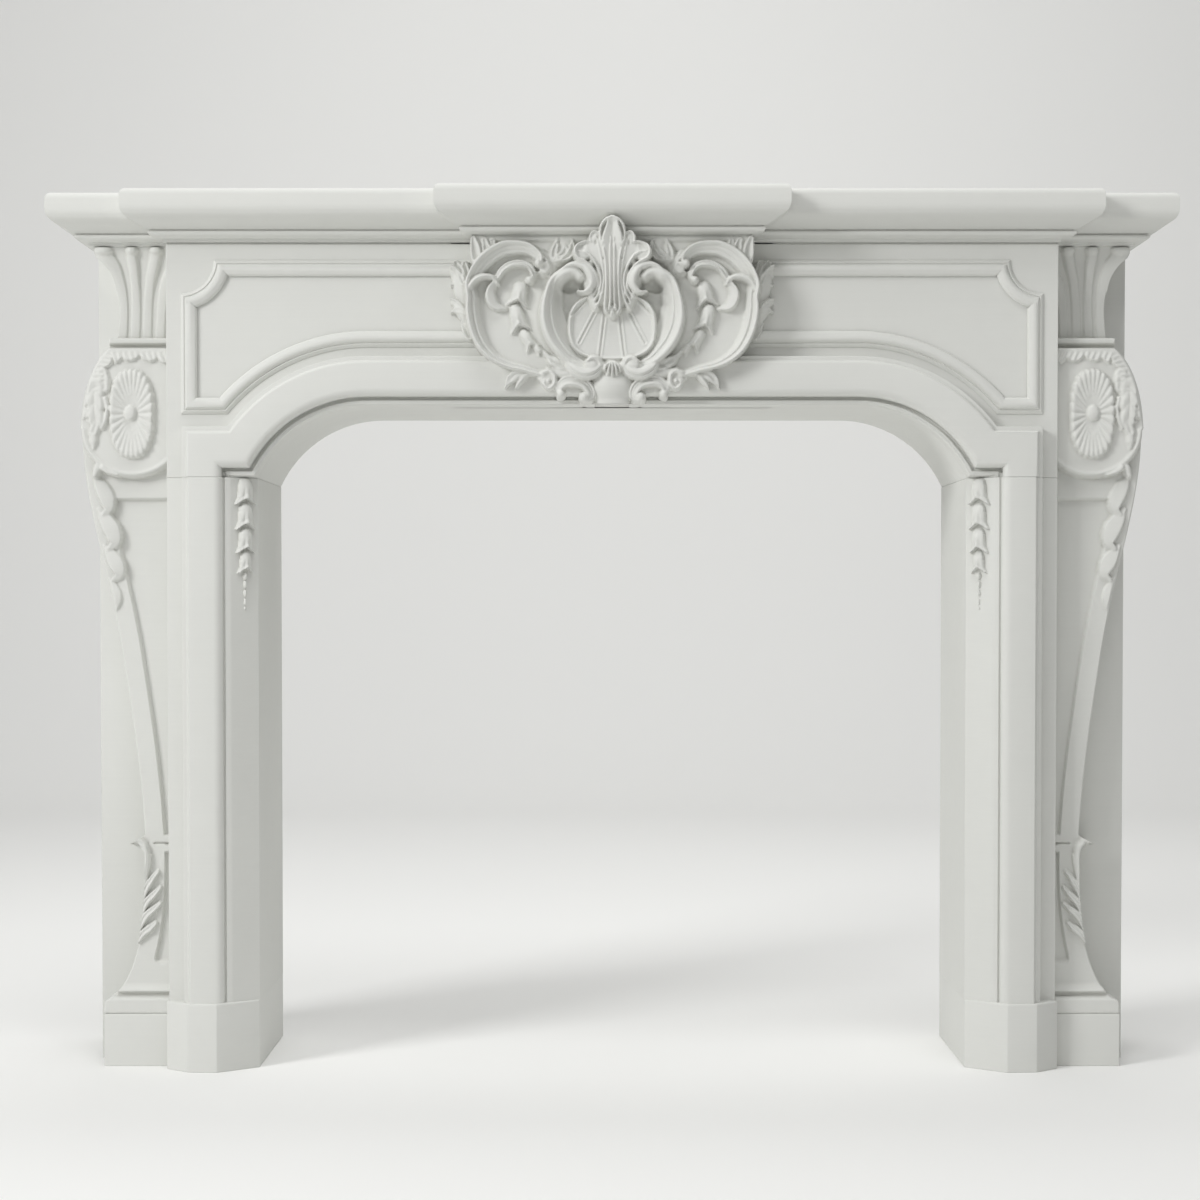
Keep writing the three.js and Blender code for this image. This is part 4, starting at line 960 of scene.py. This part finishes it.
def scroll_fringe(face, edge_curve):
    """The leaf fringe: a band in from the scroll's top and outer edge, whose inner boundary is
    cut into lobes and whose face is scored by slanting flutes."""
    cells, along, across = face.near(edge_curve, 40)
    inward = np.abs(across)
    lobe = np.abs(np.sin(np.pi * 7.5 * along))
    inner = 13 + 9.5 * lobe ** 0.55 + 2.5 * np.sin(17 * along)
    flutes = np.cos(2 * np.pi * (22.5 * along + 0.05 * inward))
    height = 3.4 + 2.2 * step((inward - 5) / 14) + 1.1 * flutes * step((inward - 4) / 6)
    face.raise_to(cells, height, DISC, (inner - inward) / 2.2 + 0.5)


def rosette(face, centre, radii):
    """The oval rosette: a squared oval dish of 26 radiating petals with rolled tips round a plain
    button. Its height rises from the button to the rim and rolls over; the petals are |sin| of
    the angle round the oval."""
    cells, dx, dz = face.oval(centre, radii, radii * 0.06)
    angle = np.arctan2(dz, dx)
    out = (np.abs(dx) ** 2.5 + np.abs(dz) ** 2.5) ** 0.4
    petal = np.abs(np.sin(13 * angle + 0.4))
    out = out * (1 + 0.035 * (1 - petal) ** 2)
    dish = np.interp(out, [0, 0.25, 0.6, 0.84, 0.93, 1, 1.1], [4.0, 4.0, 6.6, 9.0, 8.4, 5.6, 5.6])
    crest = (petal ** 0.7 - 0.55) * 3.4 * step((out - 0.2) / 0.25) * step((1.06 - out) / 0.16)
    face.raise_to(cells, dish + crest, DISC, (1 - out) * 34 / 1.8 + 0.5)
    face.dome(centre + [1.5, 1.0], (9.2, 12.4), 10.8, DISC, 6.5)


def scroll_carving(face):
    """The carving on the scroll: fringe, rosette, the long smooth leaf down its outer edge with
    two drilled holes, and the small knobs under it."""
    outline = console_outline()
    top = np.vstack([[(LEG_OUTER - 10, SCROLL_TOP)], outline[:20]])
    scroll_fringe(face, top)
    rosette(face, (55, 988) + FROM_LEG, np.array([34.3, 68.3]))
    face.stroke([(99, 1050), (97, 1037), (96, 1027)] + FROM_LEG, [9, 11, 8], [6, 7, 6], DISC,
                lobed(2))
    face.stroke([(110, 1029), (111, 1009), (110, 989), (109, 973), (113, 960)] + FROM_LEG,
                [15, 17.5, 17.5, 14, 7],
                [7, 9.5, 10, 9, 6], DISC, lobed(3, 0.3, 0.3), scalloped(3, 0.2, 0.22))
    face.stroke([(95, 1012), (92, 999), (94, 981), (100, 966)] + FROM_LEG, [3, 4, 4, 3],
                [7, 8, 8, 6], DISC)
    for spot in [(122, 999), (120, 980)]:
        face.pit(spot + FROM_LEG, (2.6, 4.4), 5)
    face.stroke([(113, 955), (113, 946), (113, 937)] + FROM_LEG, [6, 6.5, 3], [6, 6.5, 4], DISC)
    face.stroke([(105, 915), (109, 906), (113, 896)] + FROM_LEG, [6, 7.5, 5], [9, 10, 8], SHAFT + 6)
    face.stroke([(100, 907), (92, 901), (78, 896)] + FROM_LEG, [5, 4, 2.5], [5.5, 4.5, 3], DISC)


def shaft_carving(face):
    """The husks that hang down the shaft's outer edge, and the leaf that climbs its foot."""
    husk = section((-1, 0.45), (-0.55, 0.66), (0.1, 0.86), (0.65, 1), (0.88, 0.92), (1, 0.6))
    for points, width, rise in (
        ([(114, 894), (103, 877), (95, 860), (93, 846), (100, 837)], [4, 11, 13, 10, 4],
         [3, 7, 9, 9, 7]),
        ([(107, 845), (98, 829), (88, 812), (84, 795), (92, 785)], [4, 11, 14, 11, 4],
         [3, 7, 9, 9, 7]),
        ([(99, 789), (90, 775), (80, 758), (78, 746), (86, 738)], [4, 10, 12.5, 9.5, 4],
         [3, 7, 9, 9, 6]),
        ([(92, 738), (86, 723), (84, 707), (91, 687)], [4, 10, 10, 5], [3, 7, 8, 5]),
    ):
        face.stroke(points + FROM_LEG, width, rise, SHAFT, husk, wall=2.0)
    stem = [(57, 176), (52, 216), (48, 251), (43, 286), (39, 314), (42, 334), (54, 343), (65, 338)]
    face.stroke(stem + FROM_LEG, [2.5, 5, 6, 6.5, 7, 7.5, 6, 3], [3, 6, 7, 8, 10, 12, 12, 9], SHAFT,
                section((-1, 0.5), (-0.5, 0.9), (0.1, 1), (0.6, 0.85), (1, 0.5)))
    for points, width, rise in (
        ([(46, 263), (41, 286), (36, 305), (33, 319)], [2.5, 4, 4.6, 2.5], [6, 9, 9, 7]),
        ([(48, 244), (40, 268), (29, 286), (22, 294)], [3, 5, 6, 3.4], [6, 9, 10, 8]),
        ([(50, 223), (40, 247), (27, 261), (19, 270)], [3, 5.4, 6.4, 3.6], [6, 9, 10, 8]),
        ([(52, 203), (41, 226), (28, 238), (19, 246)], [3, 5.4, 6.4, 3.6], [6, 9, 10, 8]),
        ([(54, 186), (45, 200), (34, 209), (26, 216)], [3, 5.8, 7, 4], [5, 8, 9, 7]),
    ):
        face.stroke(points + FROM_LEG, width, rise, SHAFT,
                    section((-1, 0.5), (-0.55, 0.92), (-0.1, 0.72), (0.4, 1), (0.8, 0.92),
                            (1, 0.5)))


def carve_console(piece, spacing):
    """A console: a plain slab against the wall, and before it one carved block whose grid runs
    from the leg to the console's own outer edge in rows that are fine where it is carved."""
    outline = [(CONSOLE_INNER, 0), (SLAB_OUTER, 0), (SLAB_OUTER, HEADER_TOP),
               (CONSOLE_INNER, HEADER_TOP)]
    piece.slab(outline, [(0, 0), (SLAB - 1.0, 0), (SLAB, 1.0)])
    rows = np.concatenate([
        np.arange(FOOT, 132, 1.3), np.arange(132, 168, 2), np.arange(168, 352, spacing * 1.1),
        np.arange(352, 690, 5), np.arange(690, 872, spacing * 1.15),
        np.arange(872, HEADER_TOP, spacing * 1.1), [HEADER_TOP]])
    share = np.linspace(0, 1, 92)
    share = share + 0.06 * np.sin(np.pi * share) * share
    edge = console_edge(rows)[:, None]
    x = CONSOLE_INNER + (edge - CONSOLE_INNER) * share[None]
    z = np.repeat(rows[:, None], len(share), axis=1)
    face = Relief(x, z, console_ground(x, z, np.repeat(edge, len(share), axis=1)))
    plain = face.depth.copy()
    neck_ribs(face)
    keep = face.depth.copy()
    scroll_carving(face)
    face.depth = np.where(z > SCROLL_TOP, keep, face.depth)
    shaft_carving(face)
    fade = np.where((z > 640) & (z < BEAD_FOOT), step((edge - x) / 6), 1)
    face.depth = plain + (face.depth - plain) * fade
    face.smooth()
    plinth = (z < 103.3) & (x < 671.9)
    face.depth = np.where(plinth, SLAB + 1, face.depth)
    piece.relief(x, z, face.depth, np.full(len(rows), SLAB - 10), face.hollowness(4))


def carve_block(piece):
    """The block under a console: a box with eased edges and a bevelled top."""
    back = SLAB + 0.3
    plan = soften([(BLOCK_INNER, back), (BLOCK_OUTER, back), (BLOCK_OUTER, CAP),
                   (BLOCK_INNER, CAP)],
                  1.3, closed=True)
    piece.upright(plan, [(0, 0.8), (0.8, 0), (77, 0), (78.6, 0.5), (79.7, 1.6), (80, 3)])


# Finish

def feed(tree, slot, value):
    """Links a varying value to a node's socket, or sets the socket to a plain one."""
    if isinstance(value, Value):
        tree.links.new(value.socket, slot)
    else:
        slot.default_value = value


class Value:
    """A number that varies over a surface: arithmetic on it adds Math nodes."""

    def __init__(self, tree, socket):
        self.tree, self.socket = tree, socket

    def _math(self, operation, first, second):
        node = self.tree.nodes.new("ShaderNodeMath")
        node.operation = operation
        for slot, value in zip(node.inputs, (first, second)):
            feed(self.tree, slot, value)
        return Value(self.tree, node.outputs[0])

    def __add__(self, other):
        return self._math("ADD", self, other)

    def __mul__(self, other):
        return self._math("MULTIPLY", self, other)

    __radd__ = __add__
    __rmul__ = __mul__


class Finish:
    """A material's nodes, with one way to add each of them."""

    def __init__(self, name):
        self.material = bpy.data.materials.new(name)
        self.material.use_nodes = True
        self.tree = self.material.node_tree
        self.tree.nodes.clear()

    def node(self, kind, inputs=None, output=0, **settings):
        """Adds a node: its settings first, then the values or links of its sockets."""
        node = self.tree.nodes.new(kind)
        for name, value in settings.items():
            setattr(node, name, value)
        for name, value in (inputs or {}).items():
            feed(self.tree, node.inputs[name], value)
        return Value(self.tree, node.outputs[output])

    def close(self, inputs):
        """Joins a shader with these inputs to the material's output; returns the material."""
        shader = self.node("ShaderNodeBsdfPrincipled", inputs)
        output = self.tree.nodes.new("ShaderNodeOutputMaterial")
        self.tree.links.new(shader.socket, output.inputs["Surface"])
        return self.material

    def noise(self, place, scale, detail, stretch=(1, 1, 1)):
        """Noise from 0 to 1 at a scale per metre, stretched along an axis where that is given."""
        moved = self.node("ShaderNodeMapping", {"Vector": place, "Scale": stretch})
        return self.node("ShaderNodeTexNoise", {"Vector": moved, "Scale": scale, "Detail": detail})

    def mix(self, share, first, second):
        """A colour between two colours."""
        node = self.tree.nodes.new("ShaderNodeMix")
        node.data_type = "RGBA"
        for slot, value in ((0, share), (6, first), (7, second)):
            feed(self.tree, node.inputs[slot], value)
        return Value(self.tree, node.outputs[2])


def stone(name, settings, shift):
    """The off-white stone: a slow drift of tone, fine speckle and faint rubbing streaks, painted
    shade that darkens the hollows, over a fine-grained matt surface."""
    finish = Finish(name)
    place = finish.node("ShaderNodeTexCoord", output=3)
    place = finish.node("ShaderNodeMapping", {"Vector": place, "Location": shift})
    drift = finish.noise(place, 2.6, 3)
    mottle = finish.noise(place, 38, 4)
    grain = finish.noise(place, 620, 3)
    streaks = finish.noise(place, 9, 4, (0.6, 6, 34))
    hollow = finish.node("ShaderNodeAttribute", output=2, attribute_name="hollow")
    tone = np.array(settings.tone)
    shade = drift * 0.5 + mottle * 0.2 + streaks * settings.streaks + grain * 0.12
    colour = finish.mix(shade, (*(tone * 0.93), 1), (*np.minimum(tone * 1.06, 1), 1))
    # Painted shade: the colour goes darker and greyer where a point lies below its surroundings
    colour = finish.mix(hollow * settings.hollow_shade, colour, (*(tone * [0.72, 0.71, 0.68]), 1))
    relief = grain * 0.5 + mottle * 0.35 + streaks * 0.5
    bump = finish.node("ShaderNodeBump", {"Strength": 0.22, "Distance": 0.0006, "Height": relief})
    rough = 0.7 + drift * 0.1 + grain * 0.12
    return finish.close({
        "Base Color": colour, "Roughness": rough, "Normal": bump, "Specular IOR Level": 0.3})


def backdrop_finish(colour):
    """The studio paper: an even pale grey with a very slow drift."""
    finish = Finish("studio_paper")
    drift = finish.noise(finish.node("ShaderNodeTexCoord", output=3), 0.5, 2)
    colour = np.array(colour)
    tint = finish.mix(drift, (*(colour * 0.985), 1), (*np.minimum(colour * 1.015, 1), 1))
    return finish.close({"Base Color": tint, "Roughness": 0.9, "Specular IOR Level": 0.1})


# Add-on

def colour_setting(name, description, default):
    """A setting for a colour."""
    return bpy.props.FloatVectorProperty(
        name=name, description=description, subtype="COLOR", size=3, min=0, max=1, default=default)


def factor_setting(name, description, default):
    """A setting for a share from 0 to 1."""
    return bpy.props.FloatProperty(
        name=name, description=description, subtype="FACTOR", min=0, max=1, default=default)


def power_setting(name, description, default):
    """A setting for a lamp's power in watts."""
    return bpy.props.FloatProperty(
        name=name, description=description, unit="POWER", min=0, max=2000, default=default)


class StoneSettings(bpy.types.PropertyGroup):
    """The stone and its carving."""

    tone: colour_setting("Stone tone", "Base colour of the stone", (0.72, 0.725, 0.695))
    streaks: factor_setting("Streaks", "How much the rubbing streaks show", 0.22)
    # Painted shade: the share by which the stone's colour is darkened in the hollows
    hollow_shade: factor_setting("Hollow_shade", "How much dust lies in the hollows", 0.35)
    spacing: bpy.props.FloatProperty(
        name="Carving grid", description="Distance between the points of carved faces",
        subtype="DISTANCE", unit="LENGTH", min=0.0008, max=0.01, default=0.0011)


class StageSettings(bpy.types.PropertyGroup):
    """The studio round the surround."""

    paper: colour_setting("Paper", "Colour of the floor and backdrop", (0.9, 0.9, 0.885))
    key: power_setting("Key light", "Power of the soft light at upper left", 165)
    top: power_setting("Top light", "Power of the wide light overhead", 90)
    back: power_setting("Backdrop light", "Power of the wide light on the backdrop", 74)
    sky: bpy.props.FloatProperty(
        name="Room light", description="Strength of the even light from all round",
        min=0, max=5, default=0.28)


def grid_spacing(context):
    return context.scene.surround_stone.spacing * 1000 * 1


def build_pair(context, piece, name, node, shifts, crease=35):
    """Builds a piece at the right and its mirror image at the left, each in stone of its own."""
    for side, mirror, shift in zip(("right", "left"), (False, True), shifts):
        finish = stone(f"{name}_{side}", context.scene.surround_stone, shift)
        piece.build(f"{name}_{side}", f"{node}_{side}", finish, mirror, crease)


class SURROUND_OT_shelf(bpy.types.Operator):
    """Carve the stepped shelf"""

    bl_idname = "surround.shelf"
    bl_label = "Shelf"

    def execute(self, context):
        piece = Piece()
        carve_shelf(piece)
        finish = stone("stone_shelf", context.scene.surround_stone, (1.3, 0.2, 0.6))
        piece.build("stone_shelf", "shelf", finish)
        return {"FINISHED"}


class SURROUND_OT_header(bpy.types.Operator):
    """Carve the header and its cartouche"""

    bl_idname = "surround.header"
    bl_label = "Header"

    def execute(self, context):
        finish = stone("stone_header", context.scene.surround_stone, (0.4, 1.7, 2.1))
        piece = Piece()
        carve_header(piece)
        piece.build("stone_header", "header", finish)
        piece = Piece()
        carve_cartouche(piece, grid_spacing(context))
        piece.build("stone_cartouche", "header", finish, crease=180)
        return {"FINISHED"}


class SURROUND_OT_legs(bpy.types.Operator):
    """Carve the two legs"""

    bl_idname = "surround.legs"
    bl_label = "Legs"

    def execute(self, context):
        piece = Piece()
        carve_leg(piece, grid_spacing(context))
        build_pair(context, piece, "stone_leg", "leg", ((3.1, 0.5, 0.9), (5.2, 2.6, 1.4)))
        return {"FINISHED"}


class SURROUND_OT_consoles(bpy.types.Operator):
    """Carve the two scroll consoles"""

    bl_idname = "surround.consoles"
    bl_label = "Consoles"

    def execute(self, context):
        piece = Piece()
        carve_console(piece, grid_spacing(context))
        shifts = ((4.4, 3.2, 0.1), (6.3, 0.7, 3.3))
        build_pair(context, piece, "stone_console", "console", shifts, crease=60)
        return {"FINISHED"}


class SURROUND_OT_blocks(bpy.types.Operator):
    """Cut the two console blocks"""

    bl_idname = "surround.blocks"
    bl_label = "Console blocks"

    def execute(self, context):
        piece = Piece()
        carve_block(piece)
        shifts = ((7.1, 1.2, 2.2), (8.5, 2.1, 0.4))
        build_pair(context, piece, "stone_block", "console_block", shifts)
        return {"FINISHED"}


class SURROUND_OT_stage(bpy.types.Operator):
    """Lay the floor and backdrop and set the lights and camera"""

    bl_idname = "surround.stage"
    bl_label = "Stage"

    def execute(self, context):
        settings = context.scene.surround_stage
        self.paper(settings)
        self.lights(context, settings)
        self.camera(context)
        return {"FINISHED"}

    def paper(self, settings):
        """A sheet that runs along the floor and turns up behind: a line, a quarter circle and a
        line, carried across."""
        turn = arc(4.2, 1.6, 1.6, 1.6, -90, 0, 24)
        profile = np.vstack([[(-9, 0)], turn, [(5.8, 9)]])
        across = np.linspace(-9, 9, 5)
        index = np.arange(len(profile) * len(across)).reshape(len(profile), -1)
        points = np.stack([
            np.broadcast_to(across, index.shape), np.broadcast_to(profile[:, :1], index.shape),
            np.broadcast_to(profile[:, 1:], index.shape)], axis=-1).reshape(-1, 3)
        faces = np.stack([index[:-1, :-1], index[:-1, 1:], index[1:, 1:], index[1:, :-1]], axis=-1)
        mesh = bpy.data.meshes.new("studio_paper")
        mesh.from_pydata(points.tolist(), [], faces.reshape(-1, 4).tolist())
        mesh.shade_smooth()
        mesh.materials.append(backdrop_finish(settings.paper))
        sheet = bpy.data.objects.new("studio_paper", mesh)
        bpy.context.scene.collection.objects.link(sheet)

    def lights(self, context, settings):
        """A soft key at upper left, wide lamps over the floor and the backdrop and even light
        from all round, shown without a film curve so that white paper stays white."""
        for name, power, size, place, aim in (
            ("key_light", settings.key, 1.7, (-4.2, -3.6, 3.4), (0, 0, 0.7)),
            ("top_light", settings.top, 3.0, (0.3, -1.8, 5.0), (0.3, -1.2, 0)),
            ("back_light", settings.back, 3.0, (0.3, 1.6, 4.5), (0.3, 5.0, -0.4)),
        ):
            data = bpy.data.lights.new(name, "AREA")
            data.energy, data.size = power, size
            lamp = bpy.data.objects.new(name, data)
            lamp.location = place
            gap = np.array(aim, float) - place
            lamp.rotation_euler = (
                math.atan2(math.hypot(gap[0], gap[1]), -gap[2]), 0, math.atan2(-gap[0], gap[1]))
            context.scene.collection.objects.link(lamp)
        world = bpy.data.worlds.new("room")
        world.use_nodes = True
        world.node_tree.nodes["Background"].inputs["Strength"].default_value = settings.sky
        world.node_tree.nodes["Background"].inputs["Color"].default_value = (1, 1, 0.99, 1)
        context.scene.world = world
        context.scene.view_settings.view_transform = "Standard"

    def camera(self, context):
        """The photograph's view: level with the opening, tipped down a little, with the lens
        shifted up so that the uprights stay upright."""
        data = bpy.data.cameras.new("view")
        data.lens, data.sensor_width = 69.0, 36.0
        data.shift_y = 0.0543
        data.clip_end = 60
        camera = bpy.data.objects.new("view", data)
        camera.location = (-0.0182, -3.545, 0.697)
        tipped = 0.0253
        camera.rotation_euler = (math.radians(90) - tipped, 0, 0)
        context.scene.collection.objects.link(camera)
        context.scene.camera = camera


class SURROUND_PT_panel(bpy.types.Panel):
    """The surround's settings and pieces"""

    bl_label = "Carved surround"
    bl_idname = "SURROUND_PT_panel"
    bl_space_type = "VIEW_3D"
    bl_region_type = "UI"
    bl_category = "Surround"

    def draw(self, context):
        for group in (context.scene.surround_stone, context.scene.surround_stage):
            box = self.layout.box()
            for name in group.__annotations__:
                box.prop(group, name)
        for operator in OPERATORS:
            self.layout.operator(operator.bl_idname)


OPERATORS = (
    SURROUND_OT_shelf, SURROUND_OT_header, SURROUND_OT_legs, SURROUND_OT_consoles,
    SURROUND_OT_blocks, SURROUND_OT_stage,
)
CLASSES = (StoneSettings, StageSettings, *OPERATORS, SURROUND_PT_panel)


def register():
    """Registers the classes and hangs the settings on the scene."""
    for item in CLASSES:
        bpy.utils.register_class(item)
    bpy.types.Scene.surround_stone = bpy.props.PointerProperty(type=StoneSettings)
    bpy.types.Scene.surround_stage = bpy.props.PointerProperty(type=StageSettings)


def unregister():
    """Takes the settings and classes away again."""
    del bpy.types.Scene.surround_stage
    del bpy.types.Scene.surround_stone
    for item in reversed(CLASSES):
        bpy.utils.unregister_class(item)


def main():
    """Registers the add-on and makes every piece."""
    register()
    for operator in (
        bpy.ops.surround.shelf, bpy.ops.surround.header, bpy.ops.surround.legs,
        bpy.ops.surround.consoles, bpy.ops.surround.blocks, bpy.ops.surround.stage,
    ):
        operator()


if __name__ == "__main__":
    main()
